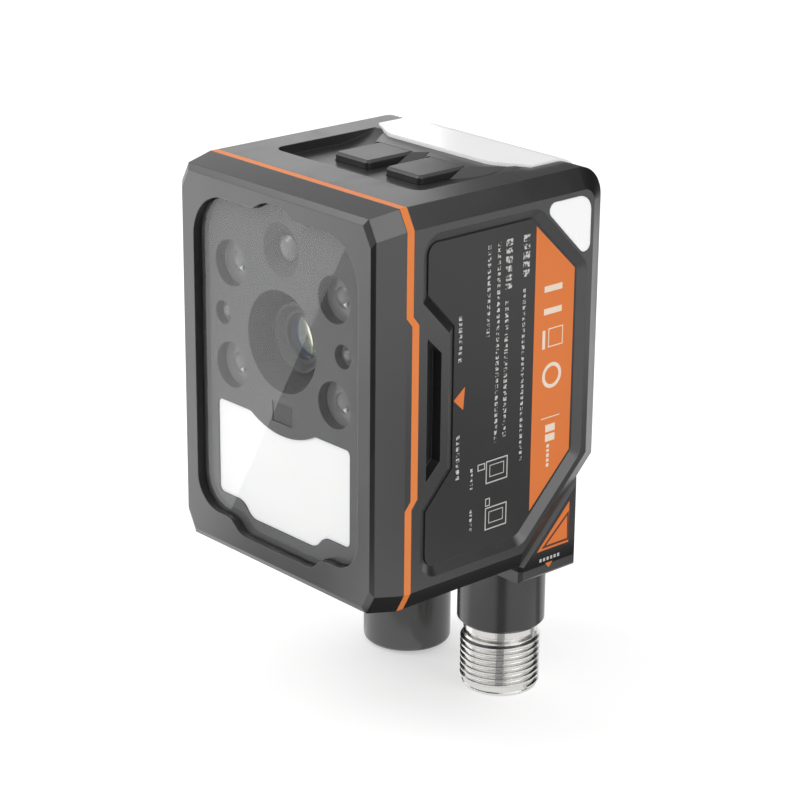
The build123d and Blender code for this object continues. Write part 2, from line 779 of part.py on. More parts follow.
def make_pane():
    return front_prism(offset(window_outline(), -PANE_GAP), PANE_SETBACK, PANE_BACK)


def make_mask():
    """Dark plate behind the pane that carries every small lens and the diffuser."""
    funnel_end = PANE_BACK + FUNNEL_L
    mask = front_prism(offset(window_outline(), -PANE_GAP), PANE_BACK, MASK_BACK)
    mask += rods([(0, AXIS_Z)], FUNNEL_END_R + FUNNEL_WALL, MASK_BACK, funnel_end)
    cone = [(0, PANE_BACK), (FUNNEL_R, PANE_BACK), (FUNNEL_END_R, funnel_end), (0, funnel_end)]
    mask -= turned(cone, z=AXIS_Z)
    mask -= rods(LED_SPOTS.values(), LED_R, PANE_BACK, MASK_BACK)
    mask -= rods(LED_SPOTS.values(), LED_R + LED_LIP, PANE_BACK + LED_DEPTH, MASK_BACK)
    mask -= rods(aimer_spots(), AIM_R, PANE_BACK, MASK_BACK)
    mask -= rods(aimer_spots(), AIM_R + LED_LIP, PANE_BACK + AIM_DEPTH, MASK_BACK)
    dish = [(0, PANE_BACK), (RANGE_R, PANE_BACK), (RANGE_LENS_R, PANE_BACK + RANGE_DEPTH)]
    mask -= turned([*dish, (RANGE_LENS_R, MASK_BACK), (0, MASK_BACK)], z=AXIS_Z + RANGE_UP)
    mask -= front_prism(eye_outline(), PANE_BACK, MASK_BACK)
    mask -= front_prism(flood_outline(), PANE_BACK, MASK_BACK)
    mask -= front_prism(offset(flood_outline(), FLANGE_W), MASK_BACK - FLANGE_T, MASK_BACK)
    mask += rods(peg_spots(), PEG_R, MASK_BACK, LED_BOARD_Y)
    return mask + rods(peg_spots(), STAKE_R, LED_BOARD_Y, LED_BOARD_Y + BOARD_T)


def peg_spots():
    """Places of the pegs on the back of the mask that carry the light board, as (x, z)."""
    spots = []
    for side in SIDES.values():
        spots.append((side * PEG_TOP_X, AXIS_Z + PEG_TOP_UP))
        spots.append((side * PEG_LOW_X, AXIS_Z - PEG_LOW_DOWN))
    return spots


def aimer_spots():
    return [(side * AIM_X, AXIS_Z + AIM_UP) for side in SIDES.values()]


def eye_outline():
    return Pos(0, AXIS_Z - EYE_DOWN) * Rectangle(EYE_W, EYE_H)


def crowned_disc(radius, dome_r, crown, y_front, y_back):
    """Disc along the depth with a shallow round dome on its front face."""
    ball_r = (dome_r ** 2 + crown ** 2) / (2 * crown)
    y_tip = y_front - crown
    body = polygon((0, y_front), (radius, y_front), (radius, y_back), (0, y_back))
    window = polygon((0, y_tip), (dome_r, y_tip), (dome_r, y_front), (0, y_front))
    cap = Pos(0, y_tip + ball_r) * Circle(ball_r) & window
    return revolve(body + cap, Axis.Y)


def make_led_lens(x, z):
    front = PANE_BACK + LED_DEPTH
    return Pos(x, 0, z) * crowned_disc(LED_R + LED_LIP - FIT, LED_DOME_R, LED_DOME_H, front, MASK_BACK)


def make_aimer_lens(side):
    front = PANE_BACK + AIM_DEPTH
    lens = crowned_disc(AIM_R + LED_LIP - FIT, AIM_DOME_R, AIM_DOME_H, front, MASK_BACK)
    return Pos(side * AIM_X, 0, AXIS_Z + AIM_UP) * lens


def make_ranging_lens():
    front = PANE_BACK + RANGE_DEPTH
    lens = crowned_disc(RANGE_LENS_R - FIT, RANGE_LENS_R - 2 * FIT, RANGE_DOME_H, front, MASK_BACK)
    return Pos(0, 0, AXIS_Z + RANGE_UP) * lens


def make_light_sensor_window():
    return front_prism(offset(eye_outline(), -FIT), PANE_BACK + FLUSH, MASK_BACK)


def make_diffuser():
    """White flood panel: its face fills the opening and a flange holds it from behind."""
    face = front_prism(offset(flood_outline(), -FIT), PANE_BACK + FLUSH, MASK_BACK)
    flange = offset(flood_outline(), FLANGE_W - FIT)
    return face + front_prism(flange, MASK_BACK - FLANGE_T, MASK_BACK)


# Objective, sensor and circuit boards

def make_barrel():
    profile = [
        (BARREL_MOUTH_R, BARREL_Y),
        (BARREL_R, BARREL_Y),
        (BARREL_R, BARREL_Y + BARREL_NECK_L),
        (BARREL_THREAD_R, BARREL_Y + BARREL_NECK_L),
        (BARREL_THREAD_R, BARREL_BACK),
        (BARREL_BORE_R, BARREL_BACK),
        (BARREL_BORE_R, BARREL_Y + MOUTH_DEPTH),
    ]
    return turned(profile, z=AXIS_Z)


def make_front_glass():
    front = BARREL_Y + MOUTH_DEPTH + RETAINER_T
    lens = crowned_disc(BARREL_BORE_R - FIT, GLASS_R, GLASS_CROWN, front, front + GLASS_T)
    return Pos(0, 0, AXIS_Z) * lens


def make_retainer():
    front = BARREL_Y + MOUTH_DEPTH
    back = front + RETAINER_T
    inner = GLASS_R + FIT
    outer = BARREL_BORE_R - FIT
    return turned([(inner, front), (outer, front), (outer, back), (inner, back)], z=AXIS_Z)


def make_rear_glass():
    front = BARREL_BACK - REAR_GLASS_T
    lens = crowned_disc(BARREL_BORE_R - FIT, GLASS_R, REAR_CROWN, front, BARREL_BACK)
    return Pos(0, 0, AXIS_Z) * lens


def make_holder():
    """Square foot with a threaded tube; the sensor sits in a pocket under the foot."""
    tube_y = BARREL_BACK - HOLDER_L
    at_axis = Pos(0, AXIS_Z)
    foot = at_axis * RectangleRounded(HOLDER_BASE, HOLDER_BASE, HOLDER_R)
    holder = front_prism(foot, BARREL_BACK, SENSOR_BOARD_Y)
    holder += front_prism(at_axis * Circle(BARREL_THREAD_R + HOLDER_WALL), tube_y, BARREL_BACK)
    holder -= front_prism(at_axis * Circle(BARREL_THREAD_R), tube_y, BARREL_BACK)
    holder -= front_prism(at_axis * Circle(BARREL_BORE_R), BARREL_BACK, SENSOR_BOARD_Y)
    pocket = at_axis * Rectangle(SENSOR_W + 2 * SENSOR_GAP, SENSOR_W + 2 * SENSOR_GAP)
    return holder - front_prism(pocket, SENSOR_BOARD_Y - SENSOR_T - SENSOR_GAP, SENSOR_BOARD_Y)


def make_image_sensor():
    return flat_chip(0, AXIS_Z, SENSOR_W, SENSOR_W, SENSOR_BOARD_Y - SENSOR_T, SENSOR_T)


def stack_board(y_front):
    """Board of the stack behind the objective, with its four screw holes."""
    height = BOARD_TOP - BOARD_LOW
    plate = Pos(0, BOARD_LOW + height / 2) * RectangleRounded(BOARD_W, height, BOARD_R)
    holes = rods(STACK_SPOTS, STACK_SCREW_R + SPIGOT_GAP, y_front, y_front + BOARD_T)
    return front_prism(plate, y_front, y_front + BOARD_T) - holes


def flat_chip(x, z, width, height, y_front, depth):
    return front_prism(Pos(x, z) * Rectangle(width, height), y_front, y_front + depth)


def make_sensor_board():
    return stack_board(SENSOR_BOARD_Y)


def make_interface_board():
    """Middle board with a plug for the connector wires and two flat chips on its back."""
    back = INTERFACE_Y + BOARD_T
    board = stack_board(INTERFACE_Y)
    board += flat_chip(0, BOARD_LOW + PLUG_UP, PLUG_W, PLUG_H, back, PLUG_T)
    for side in SIDES.values():
        board += flat_chip(side * MEMORY_W, AXIS_Z, MEMORY_W, MEMORY_H, back, PROCESSOR_T)
    return board


def make_processor_board():
    """Rear board with two memory chips on the side away from the processor."""
    board = stack_board(PROCESSOR_Y)
    front = PROCESSOR_Y - PROCESSOR_T
    for side in SIDES.values():
        board += flat_chip(side * MEMORY_X, AXIS_Z, MEMORY_W, MEMORY_H, front, PROCESSOR_T)
    return board


def make_led_board():
    """Board close behind the mask, with a large hole for the objective."""
    height = LED_BOARD_TOP - LED_BOARD_LOW
    plate = Pos(0, LED_BOARD_LOW + height / 2) * RectangleRounded(LED_BOARD_W, height, LED_BOARD_R)
    plate -= Pos(0, AXIS_Z) * Circle(FUNNEL_END_R + FUNNEL_WALL + FLANGE_W)
    back = LED_BOARD_Y + BOARD_T
    board = front_prism(plate, LED_BOARD_Y, back)
    board -= rods(CASE_SPOTS, CASE_BOSS_R + SPIGOT_GAP, LED_BOARD_Y, back)
    return board - rods(peg_spots(), STAKE_R + FIT, LED_BOARD_Y, back)


def make_lamp_chips():
    """Light sources behind the corner lenses and aimers, and the ranging chip above."""
    chips = [flat_emitter(x, z) for x, z in LED_SPOTS.values()]
    chips += [flat_emitter(x, z) for x, z in aimer_spots()]
    front = LED_BOARD_Y - CHIP_T
    chips.append(flat_chip(0, AXIS_Z + RANGE_UP, RANGE_CHIP_W, EMITTER_W, front, CHIP_T))
    return Part() + chips


def make_flood_chips():
    """Even grid of light sources behind the diffuser."""
    centre_z = (FLOOD_HIGH + FLOOD_LOW) / 2
    grid = GridLocations(EMITTER_PITCH, EMITTER_PITCH, EMITTER_COLUMNS, EMITTER_ROWS)
    spots = [(spot.position.X, centre_z + spot.position.Y) for spot in grid]
    return Part() + [flat_emitter(x, z) for x, z in spots]


def flat_emitter(x, z):
    return flat_chip(x, z, EMITTER_W, EMITTER_W, LED_BOARD_Y - CHIP_T, CHIP_T)


def make_processor_chip():
    spot_z = AXIS_Z - PROCESSOR_DOWN
    return flat_chip(0, spot_z, PROCESSOR_W, PROCESSOR_W, STACK_BOSS_Y, PROCESSOR_T)


def make_thermal_pad():
    front = STACK_BOSS_Y + PROCESSOR_T
    return flat_chip(0, AXIS_Z - PROCESSOR_DOWN, PAD_W, PAD_W, front, CAVITY_REAR - front)


def spacer_set(y_front, y_back):
    tubes = rods(STACK_SPOTS, SPACER_R, y_front, y_back)
    return tubes - rods(STACK_SPOTS, STACK_SCREW_R + SPIGOT_GAP, y_front, y_back)


def make_stack_screws():
    heads = rods(STACK_SPOTS, STACK_HEAD_R, SENSOR_BOARD_Y - STACK_HEAD_T, SENSOR_BOARD_Y)
    return heads + rods(STACK_SPOTS, STACK_SCREW_R, SENSOR_BOARD_Y, CAVITY_REAR - 2 * STACK_BLIND)


def make_case_screws():
    """Four long screws that reach from the rear face into the bosses of the bezel."""
    seat = BODY_D - CASE_SINK
    screws = rods(CASE_SPOTS, CASE_HEAD_R, seat, seat + CASE_HEAD_T)
    screws += rods(CASE_SPOTS, CASE_SCREW_R, LEDGE_BACK + 2 * CASE_BLIND, seat)
    for x, z in CASE_SPOTS:
        socket = Pos(x, z) * RegularPolygon(CASE_SOCKET_R, 6)
        screws -= front_prism(socket, BODY_D - CASE_SINK + CASE_HEAD_T - CASE_SOCKET_DEPTH, BODY_D)
    return screws


# Keys, lamps and label

def make_key(side):
    """Push key: a bevelled cap above the field and a lip that stops under the roof."""
    cap = top_prism(key_outline(side), KEY_BOTTOM, KEY_TOP)
    rim = cap.faces().sort_by(Axis.Z)[-1].edges().sort_by(Axis.Y)
    cap = chamfer(rim[:-1], KEY_BEVEL)
    return cap + top_prism(key_outline(side, KEY_LIP), KEY_BOTTOM, CAVITY_TOP)


def make_key_board():
    centre = Pos(0, KEY_FRONT + KEY_BOARD_L / 2)
    plate = centre * RectangleRounded(KEY_BOARD_W, KEY_BOARD_L, BOARD_R)
    for x, y in key_post_spots():
        plate -= Pos(x, y) * Circle(STACK_SCREW_R)
    return top_prism(plate, KEY_BOARD_TOP - BOARD_T, KEY_BOARD_TOP)


def make_key_board_screws():
    seat = KEY_BOARD_TOP - BOARD_T
    screws = []
    for x, y in key_post_spots():
        screws.append(top_prism(Pos(x, y) * Circle(STACK_SCREW_R), seat, CAVITY_TOP + KEY_SCREW_BITE))
        screws.append(top_prism(Pos(x, y) * Circle(KEY_POST_R), seat - STACK_HEAD_T, seat))
    return Part() + screws


def make_key_switch(side):
    spot = Pos(side * (KEY_SPLIT + KEY_W) / 2, KEY_FRONT + SWITCH_W)
    can_top = SWITCH_TOP - PLUNGER_H
    switch = top_prism(spot * Rectangle(SWITCH_W, SWITCH_W), KEY_BOARD_TOP, can_top)
    return switch + top_prism(spot * Circle(PLUNGER_R), can_top, SWITCH_TOP)


def make_light_bar():
    """White bar that wraps the rear top edge, with a rib that pipes light from the board."""
    return bar_band(offset(bar_plan(), -FIT)) + bar_rib()


def make_light_bar_board():
    top = REAR_TOP_R + BAR_PROUD - BAR_T + FLUSH - BAR_RIB_L
    plate = Rectangle(BAR_BOARD_W, BAR_BOARD_H)
    return extrude(BAR_CENTRE.offset(top - BAR_BOARD_T) * plate, amount=BAR_BOARD_T)


def make_status_window(side):
    lens = sideways(offset(lamp_outline(), -FIT), side, 0, LAMP_DEPTH)
    pipe = Pos(*lamp_pipe_centre()) * Circle(LAMP_PIPE_R - FIT)
    return lens + sideways(pipe, side, LAMP_DEPTH, SIDE_WALL)


def make_side_label():
    return sideways(offset(panel_floor(), -LABEL_GAP), 1, PANEL_DEPTH - LABEL_T, PANEL_DEPTH)


# Connector block and connectors

def block_section():
    """Wedge in side view: it fills the cut corner and hangs a little below the body."""
    return polygon(
        (BLOCK_FRONT, -BLOCK_DROP),
        (BLOCK_BACK, -BLOCK_DROP),
        (BLOCK_BACK, BLOCK_BACK - BLOCK_LINE),
        (BLOCK_FRONT, BLOCK_FRONT - BLOCK_LINE),
    )


def decal_outline():
    rear = BLOCK_BACK - DECAL_REAR
    low = DECAL_LOW - BLOCK_DROP
    line = BLOCK_LINE + DECAL_SLANT * math.sqrt(2)
    return polygon((line + low, low), (rear, low), (rear, rear - line))


def port_places():
    return {"male": (PORT_X, PORT_Y), "female": (-PORT_X, PORT_Y)}


def make_connector_block():
    """Hollow wedge with bevelled sides, a bore for the spindle and two connector holes."""
    half = BLOCK_W / 2
    block = side_prism(block_section(), -half, half)
    for side in (Axis.X, -Axis.X):
        face = block.faces().sort_by(side)[-1]
        block = chamfer(face.edges(), BLOCK_BEVEL)
    block -= side_prism(offset(block_section(), -BLOCK_WALL), BLOCK_WALL - half, half - BLOCK_WALL)
    block -= swivel_prism(Circle(SPINDLE_R), 0, SWIVEL_GAP + SPINDLE_SEAT)
    block -= swivel_prism(Circle(SPINDLE_BORE_R), 0, SWIVEL_GAP + BLOCK_WALL + SPINDLE_SEAT)
    for x, y in port_places().values():
        block -= top_prism(Pos(x, y) * Circle(TAIL_R), -BLOCK_DROP, BLOCK_WALL - BLOCK_DROP)
    return block - side_prism(decal_outline(), half - DECAL_T, half)


def make_decal():
    half = BLOCK_W / 2
    return side_prism(offset(decal_outline(), -FIT), half - DECAL_T, half)


def make_spindle():
    """Hollow shaft that carries the block and lets its wires into the body."""
    tail = -SLANT_WALL - SPINDLE_BOSS_L - SPINDLE_TAIL
    spindle = swivel_prism(Circle(SPINDLE_R) - Circle(SPINDLE_BORE_R), tail, SWIVEL_GAP + SPINDLE_SEAT)
    groove = Circle(SPINDLE_R) - Circle(SPINDLE_R - CLIP_GROOVE)
    clip_top = clip_height()
    spindle -= swivel_prism(groove, clip_top - CLIP_T, clip_top)
    return spindle - swivel_prism(groove, -RING_PLACE - RING_ROOM, -RING_PLACE + RING_ROOM)


def clip_height():
    return -SLANT_WALL - SPINDLE_BOSS_L - CLIP_GAP


def make_clip():
    """Open retaining ring in the groove at the inner end of the spindle."""
    ring = Circle(CLIP_R) - Circle(SPINDLE_R - CLIP_GROOVE)
    ring -= Pos(0, CLIP_R) * Rectangle(SPINDLE_R, 2 * CLIP_R - SPINDLE_R)
    return swivel_prism(ring, clip_height() - CLIP_T, clip_height())


def make_swivel_ring():
    radius = SPINDLE_R - CLIP_GROOVE + RING_R
    return SWIVEL.offset(-RING_PLACE) * Torus(radius, RING_R)


def make_male_collar():
    profile = [
        (COLLAR_BORE_R, -BLOCK_DROP),
        (COLLAR_R, -BLOCK_DROP),
        (COLLAR_R, COLLAR_END + SHELL_CHAMFER),
        (COLLAR_R - SHELL_CHAMFER, COLLAR_END),
        (COLLAR_BORE_R, COLLAR_END),
    ]
    return turned_upright(profile, *port_places()["male"])


def make_male_shell():
    """Metal connector shell: plain neck, groove, then the threaded length."""
    neck_end = COLLAR_END - NECK_L
    thread_top = neck_end - GROOVE_L
    bore_top = SHELL_END + SHELL_BORE_L
    profile = [
        (0, TAIL_L - BLOCK_DROP),
        (TAIL_R - FIT, TAIL_L - BLOCK_DROP),
        (TAIL_R - FIT, -BLOCK_DROP),
        (COLLAR_BORE_R - FIT, -BLOCK_DROP),
        (COLLAR_BORE_R - FIT, COLLAR_END),
        (NECK_R, COLLAR_END),
        (NECK_R, neck_end),
        (GROOVE_R, neck_end),
        (GROOVE_R, thread_top),
        (THREAD_R, thread_top),
        (THREAD_R, SHELL_END + SHELL_CHAMFER),
        (THREAD_R - SHELL_CHAMFER, SHELL_END),
        (SHELL_BORE_R, SHELL_END),
        (SHELL_BORE_R, bore_top + INSERT_SETBACK),
        (0, bore_top + INSERT_SETBACK),
    ]
    return turned_upright(profile, *port_places()["male"])


def contact_spots():
    """One contact in the middle and the rest evenly on a circle."""
    step = 360 / PIN_COUNT
    ring = [(PIN_CIRCLE_R, step * index) for index in range(PIN_COUNT)]
    return [(0, 0)] + [(r * math.cos(math.radians(a)), r * math.sin(math.radians(a))) for r, a in ring]


def make_male_insert():
    """Contact carrier deep inside the metal shell, drilled for its pins."""
    x, y = port_places()["male"]
    face = SHELL_END + SHELL_BORE_L
    insert = top_prism(Pos(x, y) * Circle(SHELL_BORE_R - FIT), face, face + INSERT_SETBACK)
    return insert - upright_rods(x, y, PIN_R, face, face + PIN_ROOT)


def make_male_pins():
    x, y = port_places()["male"]
    face = SHELL_END + SHELL_BORE_L
    return upright_rods(x, y, PIN_R, face - PIN_L, face + PIN_ROOT)


def upright_rods(x, y, radius, z_low, z_high):
    """Equal upright rods at the contact places round one connector centre."""
    discs = [Pos(x + px, y + py) * Circle(radius) for px, py in contact_spots()]
    return Part() + [top_prism(disc, z_low, z_high) for disc in discs]


def make_female_body():
    """Black socket: smooth outside, threaded mouth inside."""
    mouth_top = SOCKET_END + SOCKET_THREAD_L
    profile = [
        (0, TAIL_L - BLOCK_DROP),
        (TAIL_R - FIT, TAIL_L - BLOCK_DROP),
        (TAIL_R - FIT, -BLOCK_DROP),
        (SOCKET_R, -BLOCK_DROP),
        (SOCKET_R, SOCKET_END),
        (SOCKET_THREAD_R, SOCKET_END),
        (SOCKET_THREAD_R, mouth_top),
        (SOCKET_BORE_R, mouth_top),
        (SOCKET_BORE_R, mouth_top + INSERT_SETBACK),
        (0, mouth_top + INSERT_SETBACK),
    ]
    section = Plane.XZ * polygon(*profile)
    body = revolve(section, Axis.Z)
    rim = body.edges().filter_by(GeomType.CIRCLE).group_by(Axis.Z)[0].sort_by(SortBy.RADIUS)[-1]
    return Pos(-PORT_X, PORT_Y, 0) * fillet(rim, SOCKET_ROUND)


def make_female_insert():
    """Contact carrier that stands in the threaded mouth, with contact holes and a key slot."""
    x, y = port_places()["female"]
    face = SOCKET_END + INSERT_SETBACK
    back = SOCKET_END + SOCKET_THREAD_L + INSERT_SETBACK
    insert = top_prism(Pos(x, y) * Circle(SOCKET_BORE_R - FIT), face, back)
    insert -= upright_rods(x, y, CONTACT_R, face, face + PIN_L)
    return insert - top_prism(Pos(x - SOCKET_BORE_R, y) * Circle(POLARISER_R), face, back)


def make_female_contacts():
    """Sleeve contacts, set a little back in the holes of the carrier."""
    x, y = port_places()["female"]
    face = SOCKET_END + INSERT_SETBACK
    mouth = face + CONTACT_SETBACK
    sleeves = upright_rods(x, y, CONTACT_R, mouth, face + PIN_L)
    return sleeves - upright_rods(x, y, CONTACT_BORE_R, mouth, face + PIN_L - CONTACT_SETBACK)


def make_port_board():
    rear = BLOCK_BACK - BLOCK_WALL - FIT
    plate = Pos(0, rear - PORT_BOARD_D / 2) * Rectangle(PORT_BOARD_W, PORT_BOARD_D)
    return top_prism(plate, PORT_BOARD_Z, PORT_BOARD_Z + PORT_BOARD_T)


pieces = {
    "main_housing": make_housing(),
    "front_bezel": make_bezel(),
    "front_seal": make_seal(),
    "cover_window": make_pane(),
    "optics_mask": make_mask(),
    "ranging_lens": make_ranging_lens(),
    "light_sensor_window": make_light_sensor_window(),
    "diffuser_panel": make_diffuser(),
    "lens_barrel": make_barrel(),
    "lens_front_glass": make_front_glass(),
    "lens_retainer": make_retainer(),
    "lens_rear_glass": make_rear_glass(),
    "lens_holder": make_holder(),
    "image_sensor": make_image_sensor(),
    "sensor_board": make_sensor_board(),
    "interface_board": make_interface_board(),
    "processor_board": make_processor_board(),
    "processor_chip": make_processor_chip(),
    "thermal_pad": make_thermal_pad(),
    "led_board": make_led_board(),
    "lamp_chips": make_lamp_chips(),
    "flood_chips": make_flood_chips(),
    "front_spacers": spacer_set(SENSOR_BOARD_Y + BOARD_T, INTERFACE_Y),
    "rear_spacers": spacer_set(INTERFACE_Y + BOARD_T, PROCESSOR_Y),
    "stack_screws": make_stack_screws(),
    "case_screws": make_case_screws(),
    "key_board": make_key_board(),
    "key_board_screws": make_key_board_screws(),
    "light_bar": make_light_bar(),
    "light_bar_board": make_light_bar_board(),
    "side_label": make_side_label(),
    "connector_block": make_connector_block(),
    "block_decal": make_decal(),
    "swivel_spindle": make_spindle(),
    "swivel_clip": make_clip(),
    "swivel_ring": make_swivel_ring(),
    "male_port_collar": make_male_collar(),
    "male_port_shell": make_male_shell(),
    "male_port_insert": make_male_insert(),
    "male_port_pins": make_male_pins(),
    "female_port_body": make_female_body(),
    "female_port_insert": make_female_insert(),
    "female_port_contacts": make_female_contacts(),
    "port_board": make_port_board(),
}
for spot_name, (spot_x, spot_z) in LED_SPOTS.items():
    pieces[f"led_lens_{spot_name}"] = make_led_lens(spot_x, spot_z)
for side_name, side_sign in SIDES.items():
    pieces[f"aimer_lens_{side_name}"] = make_aimer_lens(side_sign)
    pieces[f"status_window_{side_name}"] = make_status_window(side_sign)
    pieces[f"key_{side_name}"] = make_key(side_sign)
    pieces[f"key_switch_{side_name}"] = make_key_switch(side_sign)

os.makedirs("parts", exist_ok=True)
for piece_name, piece in pieces.items():
    save(piece_name, piece)
print(len(pieces), "pieces written")
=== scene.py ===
import math
import bmesh
import bpy
from mathutils import Matrix, Vector


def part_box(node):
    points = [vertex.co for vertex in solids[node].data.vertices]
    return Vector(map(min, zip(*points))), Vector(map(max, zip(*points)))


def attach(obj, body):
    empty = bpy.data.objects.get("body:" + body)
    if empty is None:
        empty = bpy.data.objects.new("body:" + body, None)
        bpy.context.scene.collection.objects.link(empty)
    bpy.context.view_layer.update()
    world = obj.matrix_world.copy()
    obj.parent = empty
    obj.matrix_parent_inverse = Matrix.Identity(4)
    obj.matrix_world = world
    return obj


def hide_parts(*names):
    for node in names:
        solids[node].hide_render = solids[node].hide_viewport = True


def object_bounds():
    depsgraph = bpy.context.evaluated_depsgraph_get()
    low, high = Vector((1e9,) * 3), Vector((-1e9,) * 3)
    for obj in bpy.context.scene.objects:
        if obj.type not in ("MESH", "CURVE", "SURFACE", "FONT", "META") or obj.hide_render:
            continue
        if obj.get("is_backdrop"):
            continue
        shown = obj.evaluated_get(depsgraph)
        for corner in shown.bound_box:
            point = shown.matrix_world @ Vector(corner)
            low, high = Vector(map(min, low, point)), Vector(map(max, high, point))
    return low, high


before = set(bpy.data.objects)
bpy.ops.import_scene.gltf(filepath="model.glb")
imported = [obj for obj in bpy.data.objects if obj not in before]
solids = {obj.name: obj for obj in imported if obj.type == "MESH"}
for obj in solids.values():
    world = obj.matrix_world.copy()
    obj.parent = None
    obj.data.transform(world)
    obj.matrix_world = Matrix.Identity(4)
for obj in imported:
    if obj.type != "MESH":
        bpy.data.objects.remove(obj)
cad_low, cad_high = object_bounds()

# %% [markdown]
# # A smart camera: finish, print and light
# The solid parts arrive already in their places. Everything below adds what a drawing
# doesn't hold: the satin coat, the glass, the bright thread, the print on the label,
# and a small studio to look at it in.

# %% Units and what arrived
MM = 0.001
print(len(solids), "solid pieces,", [round((b - a) / MM, 2) for a, b in zip(cad_low, cad_high)], "mm")

# %% [markdown]
# ## The camera
# A product photo is taken from far away with a long lens, so that edges stay nearly
# parallel. The camera could be aimed with a constraint, but a direction worked out from
# two angles stays exact, and a small roll is easy to add. Here it stands at the front
# right corner, a little above the object.

# %% Viewing direction
AZIMUTH = math.radians(47.861)
ELEVATION = math.radians(19.909)
ROLL = math.radians(0.545)
forward = Vector((
    -math.sin(AZIMUTH) * math.cos(ELEVATION),
    math.cos(AZIMUTH) * math.cos(ELEVATION),
    -math.sin(ELEVATION),
))
level_right = Vector((math.cos(AZIMUTH), math.sin(AZIMUTH), 0))
level_up = level_right.cross(forward)
right = math.cos(ROLL) * level_right + math.sin(ROLL) * level_up
up = right.cross(forward)
print("looking along", [round(v, 3) for v in forward])

# %% Camera with a long lens
PHOTO_SIDE = 800
FOCAL_PIXELS = 2551.246
CAMERA_PLACE = Vector((257.72, -252.68, 112.22)) * MM
viewer = bpy.data.cameras.new("viewer")
viewer.sensor_width = 36
viewer.lens = FOCAL_PIXELS * viewer.sensor_width / PHOTO_SIDE
viewer.clip_start = 0.01
viewer_object = bpy.data.objects.new("viewer", viewer)
turn = Matrix((right, up, -forward)).transposed().to_4x4()
viewer_object.matrix_world = Matrix.Translation(CAMERA_PLACE) @ turn
bpy.context.scene.collection.objects.link(viewer_object)
bpy.context.scene.camera = viewer_object
bpy.context.scene.view_settings.view_transform = "Standard"
print("lens", round(viewer.lens, 1), "mm")

# %% [markdown]
# ## Building node trees
# A node tree is a list of nodes and a list of wires. A few small helpers keep the recipes
# below short. The first types in plain values, and draws a wire wherever the value it is
# given is itself a socket. The others add the kinds of node that come up again and again.

# %% Helpers that add and wire nodes
WHITE = (1, 1, 1, 1)


def feed(tree, node, inputs):
    for name, value in inputs.items():
        if isinstance(value, bpy.types.NodeSocket):
            tree.links.new(value, node.inputs[name])
        else:
            node.inputs[name].default_value = value


def add_node(tree, kind, inputs=None, **settings):
    node = tree.nodes.new(kind)
    for name, value in settings.items():
        setattr(node, name, value)
    feed(tree, node, inputs or {})
    return node


def add_math(tree, operation, first, second=0.0, third=0.0):
    inputs = {0: first, 1: second, 2: third}
    return add_node(tree, "ShaderNodeMath", inputs, operation=operation).outputs[0]


def add_range(tree, value, low, high, to_low=0.0, to_high=1.0):
    """Stretches what lies between low and high over the span from to_low to to_high."""
    inputs = {"Value": value, 1: low, 2: high, 3: to_low, 4: to_high}
    return add_node(tree, "ShaderNodeMapRange", inputs).outputs[0]


def scale_vector(tree, vector, factor):
    inputs = {0: vector, "Scale": factor}
    return add_node(tree, "ShaderNodeVectorMath", inputs, operation="SCALE").outputs[0]


def new_material(name):
    material = bpy.data.materials.new(name)
    material.use_nodes = True
    tree = material.node_tree
    return material, tree, tree.nodes["Principled BSDF"]


print("node helpers ready")

# %% [markdown]
# ## The studio
# The object stands on a wide pale floor under an even white sky. Gloss, glass and the
# lens of the camera see the sky at full white, and matt surfaces get a softer share of
# it, so that a colour comes out about as it was mixed. Raising the lamps instead would
# bleach the pale parts. The floor needs to know the same two kinds of ray, so the mask
# that tells them apart is a helper.


# %% Mask for what is seen directly
def seen_mask(tree):
    """One for rays from the camera, off gloss and through glass, and zero for soft light."""
    path = add_node(tree, "ShaderNodeLightPath")
    mirrored = add_math(tree, "MAXIMUM", path.outputs["Is Glossy Ray"], path.outputs["Is Transmission Ray"])
    return add_math(tree, "MAXIMUM", path.outputs["Is Camera Ray"], mirrored)


print("seen mask ready")

# %% Sky
SKY_LEVEL = 0.75
sky = bpy.data.worlds.new("sky")
sky.use_nodes = True
bpy.context.scene.world = sky
tree = sky.node_tree
tree.nodes.clear()
soft = add_node(tree, "ShaderNodeBackground", {"Color": WHITE, "Strength": SKY_LEVEL})
white = add_node(tree, "ShaderNodeBackground", {"Color": WHITE, "Strength": 1.0})
mixed = add_node(tree, "ShaderNodeMixShader", {0: seen_mask(tree), 1: soft.outputs[0], 2: white.outputs[0]})
add_node(tree, "ShaderNodeOutputWorld", {"Surface": mixed.outputs[0]})
print("sky level for matt surfaces", SKY_LEVEL)

# %% [markdown]
# ## The floor
# A plain sheet just under the lowest edge. It is nearly white, and to the eye of the
# camera it glows a little more, which hides the line where floor meets sky. What it
# reflects still gets weaker under the object, so the soft shadow stays.


# %% Helper that puts a mesh in the scene
def place_mesh(bm, name, material):
    """Makes an object at the origin whose place is in its points."""
    mesh = bpy.data.meshes.new(name)
    bm.to_mesh(mesh)
    bm.free()
    mesh.materials.append(material)
    placed = bpy.data.objects.new(name, mesh)
    bpy.context.scene.collection.objects.link(placed)
    return placed


print("mesh helper ready")

